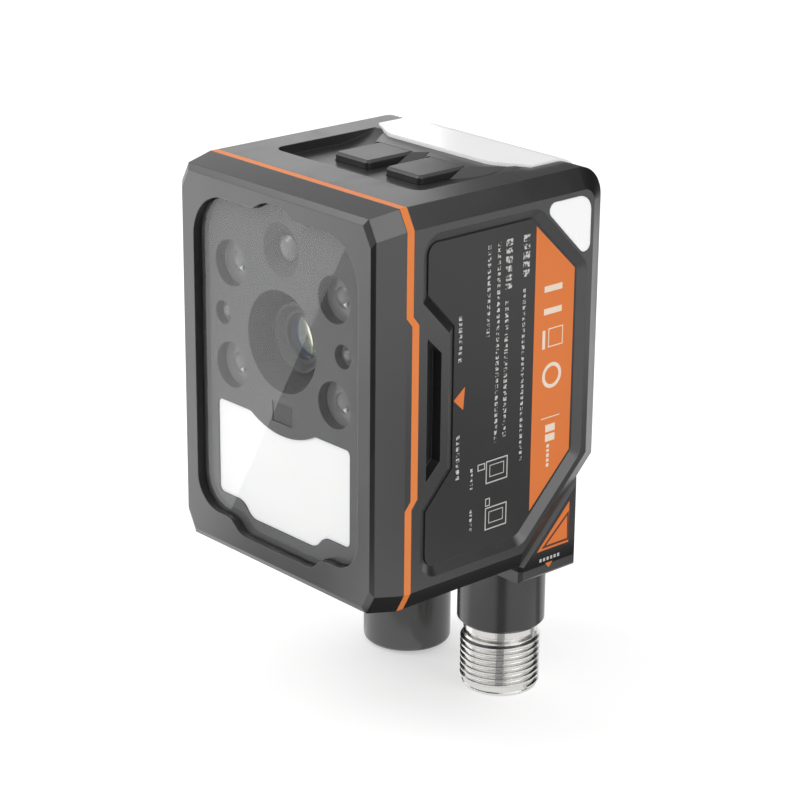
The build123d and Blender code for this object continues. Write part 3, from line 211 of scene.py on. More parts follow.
# %% Floor
FLOOR_GLOW = 0.42
FLOOR_HALF = 6.0
FLOOR_GAP = 0.02 * MM
paper, tree, shader = new_material("paper")
feed(tree, shader, {
    "Base Color": (0.8, 0.8, 0.8, 1),
    "Roughness": 1.0,
    "Specular IOR Level": 0.0,
    "Emission Color": WHITE,
    "Emission Strength": add_math(tree, "MULTIPLY", seen_mask(tree), FLOOR_GLOW),
})
bm = bmesh.new()
bmesh.ops.create_grid(bm, x_segments=1, y_segments=1, size=FLOOR_HALF)
bmesh.ops.translate(bm, verts=bm.verts, vec=(0, 0, cad_low.z - FLOOR_GAP))
floor = place_mesh(bm, "floor", paper)
floor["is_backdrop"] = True
print("floor at", round(cad_low.z / MM, 2), "mm")

# %% [markdown]
# ## The lamps
# Two soft boxes add direction to the even light of the sky. A large one hangs high on
# the left front, and a weaker one fills the right side.


# %% Soft boxes
def soft_box(name, centre, aim, side, level):
    """A square lamp whose face looks as bright as a white of that level."""
    lamp = bpy.data.lights.new(name, "AREA")
    lamp.shape = "RECTANGLE"
    lamp.size = side
    lamp.size_y = side
    lamp.energy = level * math.pi * side * side
    holder = bpy.data.objects.new(name, lamp)
    facing = (Vector(centre) - Vector(aim)).to_track_quat("Z", "Y").to_matrix().to_4x4()
    holder.matrix_world = Matrix.Translation(centre) @ facing
    bpy.context.scene.collection.objects.link(holder)
    print(name, round(lamp.energy, 2), "W")


CASE_MIDDLE = (0, -0.02, 0)
BOX_SIDE = 0.5
soft_box("high_left", (-0.42, -0.55, 0.55), CASE_MIDDLE, BOX_SIDE, 3.0)
soft_box("right_fill", (0.75, 0.1, 0.35), CASE_MIDDLE, BOX_SIDE, 1.8)

# %% [markdown]
# ## Cards for the gloss
# A glossy face is lit by what it mirrors more than by what shines on it. So a product
# photographer sets cards round the object and moves them until the mirrored edges fall
# well. Only mirrored rays see these cards: they give gloss its shape without adding
# light. Some lie on the floor, and some stand on edge behind it. All their places are in
# millimetres.


# %% Card helpers
def make_card(name, corners, level):
    """A flat sheet that glossy rays see with the brightness of a white of that level."""
    paint, tree, shader = new_material(name)
    feed(tree, shader, {
        "Base Color": (0, 0, 0, 1),
        "Specular IOR Level": 0.0,
        "Emission Color": WHITE,
        "Emission Strength": level,
    })
    bm = bmesh.new()
    bm.faces.new([bm.verts.new(Vector(corner) * MM) for corner in corners])
    bmesh.ops.recalc_face_normals(bm, faces=bm.faces)
    card = place_mesh(bm, name, paint)
    card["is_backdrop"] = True
    card.visible_camera = False
    card.visible_diffuse = False
    card.visible_shadow = False
    card.visible_transmission = False
    card.visible_volume_scatter = False


def lay_card(name, corners, level, lift=0.3):
    """A level card that lies a little above the floor, by the millimetres of its lift."""
    height = cad_low.z / MM + lift
    make_card(name, [(x, y, height) for x, y in corners], level)


def lay_strip(name, start, degrees, near, far, near_width, far_width, level):
    """A strip on the floor that runs away from a point, and widens as it goes."""
    run = Vector((math.cos(math.radians(degrees)), math.sin(math.radians(degrees))))
    side = Vector((-run.y, run.x))
    first, last = Vector(start) + run * near, Vector(start) + run * far
    ends = [first - side * near_width / 2, last - side * far_width / 2,
            last + side * far_width / 2, first + side * near_width / 2]
    lay_card(name, ends, level, lift=0.5)


def stand_card(name, start, end, low, high, level):
    """An upright card over the line from start to end, between two heights."""
    make_card(name, [(*start, low), (*end, low), (*end, high), (*start, high)], level)


print("card helpers ready")

# %% [markdown]
# The sloping line across the window is the mirrored edge of one large bright card at the
# left front. A thin darker card and a wider pale one lie on the other side of that same
# edge, so all three are cut from one line: near and far run along it, inner and outer lead
# away from it.

# %% Three cards that share an edge
EDGE_NEAR = Vector((-98.6, -120.2))
EDGE_FAR = Vector((-175.6, -205.3))
along = (EDGE_FAR - EDGE_NEAR).normalized()
across = Vector((along.y, -along.x))


def beside_edge(near, far, inner, outer):
    places = ((near, inner), (far, inner), (far, outer), (near, outer))
    return [EDGE_NEAR + along * run + across * out for run, out in places]


SHADE_WIDTH = 28
bright_corners = beside_edge(-110, 420, 0, 520)
lay_card("bright_card", bright_corners, 2.5)
lay_card("shade_card", beside_edge(-90, 230, 0, -SHADE_WIDTH), 0.3)
lay_card("fill_card", beside_edge(-90, 230, -SHADE_WIDTH, -120), 2.1)
print("card edge from", [round(v) for v in bright_corners[0]], "to", [round(v) for v in bright_corners[1]])

# %% [markdown]
# The rest are named after what they shape or where they are. A card right under the
# object tones down what the lower faces mirror. Strips that start at the plug draw bands
# down its round sides. Two black cards at the front right, one level and one upright
# behind it, darken the narrow bevels, and a strip on the right does so for the side. The
# top mirrors what is behind the object, and upright cards stand there. The last card is
# a small one, close under the lower right edge of the case.

# %% Cards for the round parts, the bevels and the top
MALE_PORT = (10.4, -8.2)
BEHIND_LEFT, BEHIND_MIDDLE, BEHIND_RIGHT = (-62, 46), (0, 114), (250, 150)
lay_card("ground_card", [(-50, -50), (60, -60), (70, 50), (-50, 60)], 0.85, lift=0.2)
lay_strip("port_front_card", MALE_PORT, -43, 9, 90, 4, 36, 0.3)
lay_strip("port_side_card", MALE_PORT, 62, 9, 60, 3, 20, 0.3)
lay_strip("port_left_card", MALE_PORT, -150, 12, 70, 8, 50, 1.25)
lay_strip("bevel_card", (20, -43), -54, 60, 160, 60, 150, 0.0)
stand_card("bevel_back_card", (29, -184), (151, -96), -58, 80, 0.0)
lay_strip("side_card", (21, -21), 42, 58, 150, 100, 150, 0.3)
stand_card("rear_bright_card", (-144, -45), BEHIND_LEFT, -10, 62, 1.5)
stand_card("rear_upper_card", (-150, -52), BEHIND_LEFT, 62, 150, 0.4)
stand_card("rear_dark_card", BEHIND_LEFT, BEHIND_MIDDLE, -10, 130, 0.2)
stand_card("far_dark_card", BEHIND_MIDDLE, BEHIND_RIGHT, -20, 150, 0.0)
make_card("under_card", [(17.5, -45, -36), (23, -45, -36), (23, 12, -36), (17.5, 12, -36)], 0.05)
print("plug strips start at", MALE_PORT)

# %% [markdown]
# ## Shared surface effects
# Real finishes are never one flat colour. Four small node groups hold what several of
# them share: fine grain with slow cloudiness, softened edges, marks left by turning, and
# faint smudges. Each puts out only masks, heights and normals, and each material feeds
# them into its own shader with its own values.

# %% Helper that starts a node group
FLOAT, VECTOR = "NodeSocketFloat", "NodeSocketVector"
METRE_IN_MM = 1000.0


def start_group(name, inputs, outputs):
    group = bpy.data.node_groups.new(name, "ShaderNodeTree")
    for label, kind, value in inputs:
        socket = group.interface.new_socket(label, in_out="INPUT", socket_type=kind)
        if value is not None:
            socket.default_value = value
    for label, kind in outputs:
        group.interface.new_socket(label, in_out="OUTPUT", socket_type=kind)
    return group, group.nodes.new("NodeGroupInput"), group.nodes.new("NodeGroupOutput")


print("group helper ready")

# %% [markdown]
# Fine grain is a noise with a size in millimetres. The same group gives a second, much
# larger noise, which shifts colour and gloss a little from place to place.

# %% Group: fine grain
grain_group, g_in, g_out = start_group(
    "fine_grain",
    [("Place", VECTOR, None), ("Grain mm", FLOAT, 0.3), ("Cloud mm", FLOAT, 9.0)],
    [("Height", FLOAT), ("Cloud", FLOAT)],
)
for size_name, output_name, detail in (("Grain mm", "Height", 3.0), ("Cloud mm", "Cloud", 2.0)):
    per_metre = add_math(grain_group, "DIVIDE", METRE_IN_MM, g_in.outputs[size_name])
    scaled = scale_vector(grain_group, g_in.outputs["Place"], per_metre)
    noise = add_node(grain_group, "ShaderNodeTexNoise", {"Vector": scaled, "Scale": 1.0, "Detail": detail})
    grain_group.links.new(noise.outputs[0], g_out.inputs[output_name])
print("fine_grain has", len(grain_group.nodes), "nodes")

# %% [markdown]
# Cast and moulded edges are never knife sharp. The Bevel node bends the normal near an
# edge as if it had a small radius, without a single new face, and where it differs from
# the plain normal there is an edge, which gives a mask for free.

# %% Group: soft edges
edge_group, g_in, g_out = start_group(
    "soft_edges", [("Radius mm", FLOAT, 0.15)], [("Normal", VECTOR), ("Edge", FLOAT)]
)
radius = add_math(edge_group, "MULTIPLY", g_in.outputs["Radius mm"], MM)
rounding = add_node(edge_group, "ShaderNodeBevel", {"Radius": radius}, samples=6)
plain = add_node(edge_group, "ShaderNodeNewGeometry")
normals = {0: rounding.outputs[0], 1: plain.outputs["Normal"]}
alike = add_node(edge_group, "ShaderNodeVectorMath", normals, operation="DOT_PRODUCT")
edge_mask = add_range(edge_group, alike.outputs["Value"], 0.99, 0.85)
edge_group.links.new(rounding.outputs[0], g_out.inputs["Normal"])
edge_group.links.new(edge_mask, g_out.inputs["Edge"])
print("soft_edges has", len(edge_group.nodes), "nodes")

# %% [markdown]
# A lathe leaves fine rings round the axis. A noise that is squeezed hard along the axis
# and stretched round it gives such rings, with the slight unevenness of a real cut.

# %% Group: turning marks
ROUND_SCALE = 60.0
turned_group, g_in, g_out = start_group(
    "turning_marks",
    [("Place", VECTOR, None), ("Ring mm", FLOAT, 0.1)],
    [("Height", FLOAT), ("Streak", FLOAT)],
)
per_metre = add_math(turned_group, "DIVIDE", METRE_IN_MM, g_in.outputs["Ring mm"])
split = add_node(turned_group, "ShaderNodeSeparateXYZ", {0: g_in.outputs["Place"]})
squeezed = add_node(turned_group, "ShaderNodeCombineXYZ", {
    "X": add_math(turned_group, "MULTIPLY", split.outputs["X"], ROUND_SCALE),
    "Y": add_math(turned_group, "MULTIPLY", split.outputs["Y"], ROUND_SCALE),
    "Z": add_math(turned_group, "MULTIPLY", split.outputs["Z"], per_metre),
})
for output_name, scale in (("Height", 1.0), ("Streak", 0.2)):
    inputs = {"Vector": squeezed.outputs[0], "Scale": scale, "Detail": 2.0}
    noise = add_node(turned_group, "ShaderNodeTexNoise", inputs)
    turned_group.links.new(noise.outputs[0], g_out.inputs[output_name])
print("turning_marks has", len(turned_group.nodes), "nodes")

# %% [markdown]
# Handling leaves faint duller patches on smooth faces. A soft noise, cut off so that most
# of the surface stays clean, is enough.

# %% Group: smudges
smudge_group, g_in, g_out = start_group(
    "smudges", [("Place", VECTOR, None), ("Size mm", FLOAT, 12.0)], [("Mask", FLOAT)]
)
per_metre = add_math(smudge_group, "DIVIDE", METRE_IN_MM, g_in.outputs["Size mm"])
noise = add_node(smudge_group, "ShaderNodeTexNoise", {
    "Vector": scale_vector(smudge_group, g_in.outputs["Place"], per_metre),
    "Scale": 1.0,
    "Detail": 5.0,
    "Roughness": 0.62,
    "Distortion": 0.4,
})
smudge_group.links.new(add_range(smudge_group, noise.outputs[0], 0.52, 0.72), g_out.inputs["Mask"])
print("smudges has", len(smudge_group.nodes), "nodes")

# %% [markdown]
# ## A recipe for coats and moulded plastic
# Most outer parts are an opaque colour with a satin or matt skin. One recipe serves them
# all: colour drifts a little with the clouds and lightens on edges, partly as wear and
# partly as a painted highlight, and it can darken on walls as painted shade. Gloss drifts
# with the clouds and the smudges, and the grain raises a very small bump on top of the
# soft edge normal. On turned metal the rings of the lathe take the place of grain and smudges.

# %% Recipe: opaque finish
GLOSS_DRIFT = 0.04
LEAST_ROUGHNESS = 0.02
STREAK_SHARE = 0.12


def grey(level):
    return (level, level, level * 1.03)


def use_group(tree, group, inputs):
    return add_node(tree, "ShaderNodeGroup", inputs, node_tree=group)


def shade_colour(colour, factor, lift=0.0):
    return [min(1, c * factor + lift) for c in colour] + [1]


def opaque_finish(name, colour, roughness, grain=0.25, relief=0.003, cloud=9.0, drift=0.1,
                  edge_radius=0.12, edge_light=0.25, metallic=0.0, smudge=0.06, turned=None,
                  turn=(0, 0, 0), specular=0.5, painted_wall_shade=1.0):
    """Sizes are in millimetres; drift, edge_light and painted_wall_shade are shares of the colour."""
    material, tree, shader = new_material(name)
    place = add_node(tree, "ShaderNodeTexCoord").outputs["Object"]
    grains = use_group(tree, grain_group, {"Place": place, "Grain mm": grain, "Cloud mm": cloud})
    edges = use_group(tree, edge_group, {"Radius mm": edge_radius})
    clouds = add_node(tree, "ShaderNodeMixRGB", {
        0: grains.outputs["Cloud"], 1: shade_colour(colour, 1 - drift), 2: shade_colour(colour, 1 + drift),
    })
    # Edges are lightened by edge_light, partly as wear and partly as a painted highlight.
    worn_highlit = shade_colour(colour, 1 + edge_light, 0.02 * edge_light)
    edged = add_node(tree, "ShaderNodeMixRGB", {0: edges.outputs["Edge"], 1: clouds.outputs[0], 2: worn_highlit})
    coloured = edged.outputs[0]
    # Painted shade: faces that turn away from the depth axis, such as the walls of cups and holes, get a
    # darker colour, down to this share of it.
    if painted_wall_shade < 1.0:
        normal = add_node(tree, "ShaderNodeNewGeometry").outputs["Normal"]
        facing = add_node(tree, "ShaderNodeSeparateXYZ", {0: normal})
        frontal = add_math(tree, "ABSOLUTE", facing.outputs["Y"])
        coloured = scale_vector(tree, coloured, add_range(tree, frontal, 0.55, 0.98, painted_wall_shade, 1.0))
    gloss = add_range(tree, grains.outputs["Cloud"], 0.0, 1.0,
                      max(LEAST_ROUGHNESS, roughness - GLOSS_DRIFT), roughness + GLOSS_DRIFT)
    if turned:
        spun = add_node(tree, "ShaderNodeMapping", {"Vector": place, "Rotation": turn})
        rings = use_group(tree, turned_group, {"Place": spun.outputs[0], "Ring mm": turned})
        height, marks, share = rings.outputs["Height"], rings.outputs["Streak"], STREAK_SHARE
    else:
        hands = use_group(tree, smudge_group, {"Place": place})
        height, marks, share = grains.outputs["Height"], hands.outputs["Mask"], smudge
    bump = add_node(tree, "ShaderNodeBump", {
        "Height": height, "Strength": 1.0, "Distance": relief * MM, "Normal": edges.outputs["Normal"],
    })
    feed(tree, shader, {
        "Base Color": coloured,
        "Metallic": metallic,
        "Roughness": add_math(tree, "MULTIPLY_ADD", marks, share, gloss),
        "Specular IOR Level": specular,
        "Normal": bump.outputs[0],
    })
    return material


print("opaque recipe ready")

# %% [markdown]
# ## Putting a finish on a solid
# A solid that arrived in place keeps its mesh. It only has its material changed, in the
# slot that it came with.


# %% Helper that dresses solids
def dress(material, *names):
    for name in names:
        for slot in solids[name].material_slots:
            slot.material = material
    print(material.name, "on", len(names), "pieces")


# %% [markdown]
# ## The housing coat
# Housing, bezel and connector block are die cast and sprayed with a fine dark grey satin
# coat. It mirrors its surroundings as a soft sheen.

# %% Housing coat
housing_coat = opaque_finish("housing_coat", grey(0.013), 0.32, grain=0.22, relief=0.0022, drift=0.08,
                             edge_radius=0.15, edge_light=0.0, specular=0.95)
dress(housing_coat, "main_housing", "front_bezel", "connector_block")

# %% [markdown]
# ## Seal, keys and black plastics
# The seal is orange silicone, matt and slightly velvety. The keys are moulded in a grey
# a touch lighter than the coat. The plate behind the window is matt, and the walls of its
# cups are darkened as painted shade. The connectors are black, smooth and a little
# glossier, so that cards show as long bands down their sides.

# %% Seal, keys and plastics
seal_orange = opaque_finish("seal_orange", (0.80, 0.215, 0.035), 0.5, grain=0.12, relief=0.002,
                            drift=0.04, edge_radius=0.1, edge_light=0.05)
key_grey = opaque_finish("key_grey", grey(0.016), 0.36, grain=0.18, relief=0.003, edge_radius=0.2,
                         edge_light=0.0, specular=0.8)
switch_black = opaque_finish("switch_black", grey(0.06), 0.5)
# The cup walls of the plate are darkened to 0.3 of its colour as painted shade.
mask_black = opaque_finish("mask_black", grey(0.10), 0.55, grain=0.15, relief=0.003, edge_radius=0.05,
                           edge_light=0.0, specular=0.2, painted_wall_shade=0.3)
connector_black = opaque_finish("connector_black", grey(0.015), 0.22, grain=0.2, relief=0.0012,
                                edge_radius=0.15, edge_light=0.0, smudge=0.04, specular=0.9)
insert_black = opaque_finish("insert_black", grey(0.03), 0.6)
dress(seal_orange, "front_seal")
dress(key_grey, "key_left", "key_right")
dress(switch_black, "key_switch_left", "key_switch_right")
dress(mask_black, "optics_mask", "lens_holder")
dress(connector_black, "male_port_collar", "female_port_body")
dress(insert_black, "male_port_insert", "female_port_insert")

# %% [markdown]
# ## Turned metal
# Barrel, screws, spindle and pins come off a lathe. They share one recipe with turning
# marks; the axis differs, so the pattern is turned to lie along it.

# %% Metals
ALONG_DEPTH = (math.radians(90), 0, 0)
ALONG_SPINDLE = (math.radians(45), 0, 0)
barrel_black = opaque_finish("barrel_black", grey(0.025), 0.38, relief=0.004, turned=0.12,
                             turn=ALONG_DEPTH)
steel = opaque_finish("steel", (0.60, 0.59, 0.57), 0.26, relief=0.002, metallic=1.0, turned=0.1,
                      turn=ALONG_DEPTH, edge_light=0.15)
spindle_steel = opaque_finish("spindle_steel", (0.52, 0.52, 0.51), 0.3, relief=0.002, metallic=1.0,
                              turned=0.1, turn=ALONG_SPINDLE, edge_light=0.15)
nickel = opaque_finish("nickel", (0.80, 0.79, 0.77), 0.14, relief=0.0012, metallic=1.0, turned=0.08,
                       edge_radius=0.05, edge_light=0.1)
gold = opaque_finish("gold", (0.83, 0.60, 0.24), 0.2, relief=0.001, metallic=1.0, turned=0.1,
                     edge_light=0.1)
dress(barrel_black, "lens_barrel", "lens_retainer")
dress(steel, "case_screws", "stack_screws", "key_board_screws", "front_spacers", "rear_spacers",
      "swivel_clip")
dress(spindle_steel, "swivel_spindle")
dress(gold, "male_port_pins", "female_port_contacts")

# %% [markdown]
# ## Boards and what sits on them
# They are hidden while the case is closed, but a cut or an open view shows them. Solder
# mask is a glossy green over a woven sheet, and the weave just shows through.

# %% Boards and chips
board_green = opaque_finish("board_green", (0.02, 0.17, 0.07), 0.28, grain=0.35, relief=0.002,
                            cloud=2.0, drift=0.2)
chip_black = opaque_finish("chip_black", grey(0.03), 0.55, grain=0.08, relief=0.003)
sensor_dark = opaque_finish("sensor_dark", (0.05, 0.06, 0.085), 0.12, grain=0.05, relief=0.001)
lamp_yellow = opaque_finish("lamp_yellow", (0.88, 0.78, 0.32), 0.45, grain=0.1, relief=0.004)
pad_grey = opaque_finish("pad_grey", (0.40, 0.43, 0.50), 0.7, grain=0.2, relief=0.01)
ring_black = opaque_finish("ring_black", grey(0.02), 0.6)
dress(board_green, "sensor_board", "interface_board", "processor_board", "led_board", "key_board",
      "light_bar_board", "port_board")
dress(chip_black, "processor_chip")
dress(sensor_dark, "image_sensor")
dress(lamp_yellow, "lamp_chips", "flood_chips")
dress(pad_grey, "thermal_pad")
dress(ring_black, "swivel_ring")

# %% [markdown]
# ## The window
# A thin clear pane protects everything behind it. It is real glass to the renderer: it
# lets light through and mirrors the studio at its surface. An anti-reflective coat lets
# it mirror only about half as much as bare glass, and a lower index does the same. Faint
# smudges change only its roughness. Shadow rays and the rays of soft light pass straight
# through, so the light reaches what lies behind without the noise of bent rays, and isn't
# counted twice.


# %% Clear pane
def clear_finish(name, colour, ior, roughness, film=0.0, smudge=0.03):
    """Glass; film is the thickness of its thin coat in nanometres."""
    material, tree, shader = new_material(name)
    place = add_node(tree, "ShaderNodeTexCoord").outputs["Object"]
    hands = use_group(tree, smudge_group, {"Place": place, "Size mm": 15.0})
    grains = use_group(tree, grain_group, {"Place": place, "Grain mm": 0.5, "Cloud mm": 14.0})
    tint = add_node(tree, "ShaderNodeMixRGB", {
        0: grains.outputs["Cloud"], 1: shade_colour(colour, 0.97), 2: shade_colour(colour, 1),
    })
    feed(tree, shader, {
        "Base Color": tint.outputs[0],
        "Roughness": add_math(tree, "MULTIPLY_ADD", hands.outputs["Mask"], smudge, roughness),
        "IOR": ior,
        "Transmission Weight": 1.0,
        "Thin Film Thickness": film,
        "Thin Film IOR": 1.38,
    })
    path = add_node(tree, "ShaderNodeLightPath")
    straight = add_math(tree, "MAXIMUM", path.outputs["Is Shadow Ray"], path.outputs["Is Diffuse Ray"])
    passing = add_node(tree, "ShaderNodeBsdfTransparent", {"Color": [*colour, 1]})
    both = add_node(tree, "ShaderNodeMixShader", {0: straight, 1: shader.outputs[0], 2: passing.outputs[0]})
    tree.links.new(both.outputs[0], tree.nodes["Material Output"].inputs["Surface"])
    return material


clear_pane = clear_finish("clear_pane", (0.98, 0.982, 0.982), 1.32, 0.01)
print("clear recipe ready")

# %% [markdown]
# ## Lenses and lamps
# The objective's glass has a high index and a thin anti-reflection coat that tints its
# glints. The small lamp lenses are smoked plastic, lighter than the plate around them.

# %% Lens glass and lamp lenses
lens_glass = clear_finish("lens_glass", (0.92, 0.95, 0.94), 1.8, 0.005, film=230.0, smudge=0.0)
lamp_smoke = opaque_finish("lamp_smoke", (0.17, 0.17, 0.172), 0.12, grain=0.3, relief=0.0006,
                           edge_radius=0.1)
sensor_gloss = opaque_finish("sensor_gloss", (0.012, 0.012, 0.014), 0.1, grain=0.3, relief=0.0005)
small_lenses = [name for name in solids if name.startswith(("led_lens", "aimer_lens", "ranging_lens"))]
dress(lens_glass, "lens_front_glass", "lens_rear_glass")
dress(lamp_smoke, *small_lenses)
dress(sensor_gloss, "light_sensor_window")

# %% [markdown]
# The diffuser and the status lamps are milky plastic: light enters and comes out again
# nearby, which is what subsurface scattering does. A faint glow of their own keeps them
# white in the shade.

# %% Milky plastic
MILKY_GLOW = 0.12


def milky_finish(name, colour, roughness, depth):
    material = opaque_finish(name, colour, roughness, grain=0.2, relief=0.001, drift=0.015,
                             edge_light=0.0, edge_radius=0.05)
    tree = material.node_tree
    feed(tree, tree.nodes["Principled BSDF"], {
        "Subsurface Weight": 0.6,
        "Subsurface Scale": depth * MM,
        "Subsurface Radius": (1.0, 0.9, 0.8),
        "Emission Color": WHITE,
        "Emission Strength": MILKY_GLOW,
    })
    return material


diffuser_white = milky_finish("diffuser_white", (0.90, 0.90, 0.89), 0.45, 0.8)
status_white = milky_finish("status_white", (0.86, 0.86, 0.86), 0.25, 0.6)
dress(diffuser_white, "diffuser_panel")
dress(status_white, "light_bar", "status_window_left", "status_window_right")

# %% [markdown]
# ## Label film
# The side carries a dark film with print on it. The film is satin, and the print is a
# thin layer of ink: orange for the fields, pale for the small marks.

# %% Film and inks
film_dark = opaque_finish("film_dark", grey(0.018), 0.36, grain=0.15, relief=0.0012, edge_radius=0.08)
ink_orange = opaque_finish("ink_orange", (0.76, 0.185, 0.025), 0.45, grain=0.1, relief=0.001,
                           drift=0.03, edge_radius=0.02, edge_light=0.0)
ink_pale = opaque_finish("ink_pale", (0.56, 0.55, 0.53), 0.5, grain=0.1, relief=0.001, drift=0.1,
                         edge_radius=0.01, edge_light=0.0)
ink_cream = opaque_finish("ink_cream", (0.86, 0.72, 0.58), 0.5, grain=0.1, relief=0.001, drift=0.04,
                          edge_radius=0.01, edge_light=0.0)
ink_dark = opaque_finish("ink_dark", (0.10, 0.03, 0.02), 0.5, edge_radius=0.01, edge_light=0.0)
dress(film_dark, "side_label")
dress(ink_orange, "block_decal")

# %% [markdown]
# Small print seen from arm's length is a row of blots with uneven edges. A noise about
# as fine as a pen stroke, cut hard, breaks each plain dash into such a blot.


# %% Ink for the small print
def small_print(name, ground, pale, stroke):
    material = opaque_finish(name, pale, 0.45, grain=0.1, relief=0.001, edge_radius=0.01, edge_light=0.0)
    tree = material.node_tree
    shader = tree.nodes["Principled BSDF"]
    place = add_node(tree, "ShaderNodeTexCoord").outputs["Object"]
    grains = use_group(tree, grain_group, {"Place": place, "Grain mm": stroke, "Cloud mm": 4.0})
    strokes = add_range(tree, grains.outputs["Height"], 0.44, 0.56)
    plain = shader.inputs["Base Color"].links[0].from_socket
    blots = add_node(tree, "ShaderNodeMixRGB", {0: strokes, 1: [*ground, 1], 2: plain})
    tree.links.new(blots.outputs[0], shader.inputs["Base Color"])
    return material


ink_print = small_print("ink_print", grey(0.03), (0.60, 0.59, 0.57), 0.42)
print("inks ready")

# %% [markdown]
# ## New pieces and their bodies
# Each new piece is a mesh at the origin with its place in its points. It rides on the
# body that carries it, so it turns with the connector or stays with the case.


# %% Helper that finishes a piece
def keep_piece(bm, name, material, rides):
    bmesh.ops.recalc_face_normals(bm, faces=bm.faces)
    piece = place_mesh(bm, name, material)
    for face in piece.data.polygons:
        face.use_smooth = False
    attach(piece, rides)
    print(name, len(piece.data.polygons), "faces")
    return piece


# %% [markdown]
# ## The pane with air behind it
# In the drawing the pane lies flat on the plate behind it, so two faces share one place,
# and a ray of light can't tell which comes first. The real pane rests on thin tape. A
# copy of the pane's mesh has its back face moved forward by the thickness of that tape.
# Its rim is painted black, so that no light leaks in from the side.

# %% Pane
TAPE = 0.05 * MM
RIM_SLOT = 1
pane = bmesh.new()
pane.from_mesh(solids["cover_window"].data)
bmesh.ops.remove_doubles(pane, verts=pane.verts, dist=1e-6)
pane_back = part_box("cover_window")[1].y
back = [vert for vert in pane.verts if abs(vert.co.y - pane_back) < 0.01 * MM]
bmesh.ops.translate(pane, verts=back, vec=(0, -TAPE, 0))
window_pane = keep_piece(pane, "window_pane", clear_pane, "camera")
window_pane.data.materials.append(mask_black)
for face in window_pane.data.polygons:
    if abs(face.normal.y) < 0.9:
        face.material_index = RIM_SLOT
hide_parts("cover_window")
print("air gap", TAPE / MM, "mm behind", len(back), "points")

# %% [markdown]
# ## The threaded shell
# The plug end is a nickel plated shell with a cut thread. A thread could be faked with
# rings, but a screw is just as easy: the shell is spun from its profile without a step,
# and a small tooth is spun again with a lift at each step, so that it climbs.

# %% Shell sizes, read from the solids around it
shell_low, shell_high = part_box("male_port_shell")
collar_low, collar_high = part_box("male_port_collar")
insert_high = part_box("male_port_insert")[1]
port_axis = (shell_low + shell_high) / 2
PITCH = 1.0 * MM
THREAD_R = (shell_high.x - shell_low.x) / 2
ROOT_R = THREAD_R - 0.46 * MM
NECK_R = 5.55 * MM
GROOVE_R = 5.0 * MM
SLEEVE_R = 5.15 * MM
BORE_R = 4.4 * MM
TAIL_R = 2.75 * MM
EASE = 0.08 * MM
bottom = shell_low.z
neck_top = collar_low.z
neck_end = neck_top - 1.25 * MM
thread_top = neck_end - 0.55 * MM
print("thread", round(2 * THREAD_R / MM, 2), "mm across,", round((thread_top - bottom) / MM, 1), "mm long")


# %% Spin a profile into a closed skin
def spin_profile(bm, profile, centre, steps=96):
    points = [bm.verts.new((centre.x + r, centre.y, z)) for r, z in profile]
    lines = [bm.edges.new(pair) for pair in zip(points, points[1:])]
    bmesh.ops.spin(bm, geom=points + lines, cent=(centre.x, centre.y, 0), axis=(0, 0, 1),
                   angle=2 * math.pi, steps=steps, use_merge=True)
    bmesh.ops.remove_doubles(bm, verts=bm.verts, dist=1e-7)
    bmesh.ops.dissolve_degenerate(bm, dist=1e-7, edges=bm.edges)


TIP_R = ROOT_R + 0.12 * MM
shell = bmesh.new()
spin_profile(shell, [
    (0, shell_high.z), (TAIL_R, shell_high.z), (TAIL_R, collar_high.z),
    (SLEEVE_R, collar_high.z), (SLEEVE_R, neck_top),
    (NECK_R - EASE, neck_top), (NECK_R, neck_top - EASE),
    (NECK_R, neck_end + EASE), (NECK_R - EASE, neck_end),
    (GROOVE_R, neck_end), (GROOVE_R, thread_top + EASE), (GROOVE_R + EASE, thread_top),
    (ROOT_R, thread_top - 0.15 * MM), (ROOT_R, bottom + 0.62 * MM),
    (TIP_R, bottom + 0.5 * MM), (TIP_R, bottom + 2 * EASE), (ROOT_R - EASE, bottom),
    (BORE_R + 2 * EASE, bottom), (BORE_R, bottom + 2 * EASE),
    (BORE_R, insert_high.z), (0, insert_high.z),
], port_axis)
print("shell spun from", len(shell.faces), "faces")

# %% Wind the thread tooth round it
STEPS_PER_TURN = 64
FOOT_HALF = 0.46 * PITCH
CREST_HALF = 0.12 * PITCH
FOOT_R = ROOT_R - 0.05 * MM
CREST_R = THREAD_R - 0.02 * MM
thread_start = bottom + 0.95 * MM
turns = (thread_top - 0.45 * MM - thread_start) / PITCH
steps = round(turns * STEPS_PER_TURN)
tooth = [(FOOT_R, -FOOT_HALF), (CREST_R, -CREST_HALF), (CREST_R, CREST_HALF), (FOOT_R, FOOT_HALF)]
corner = [shell.verts.new((port_axis.x + r, port_axis.y, thread_start + z)) for r, z in tooth]
first = [shell.edges.new(pair) for pair in zip(corner, corner[1:] + corner[:1])]
bmesh.ops.spin(shell, geom=corner + first, cent=(port_axis.x, port_axis.y, 0), axis=(0, 0, 1),
               dvec=(0, 0, turns * PITCH / steps), angle=2 * math.pi * turns, steps=steps, use_merge=False)
bmesh.ops.holes_fill(shell, edges=[e for e in shell.edges if e.is_boundary], sides=4)
threaded_shell = keep_piece(shell, "threaded_shell", nickel, "connector")
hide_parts("male_port_shell")
print("thread of", round(turns, 2), "turns")
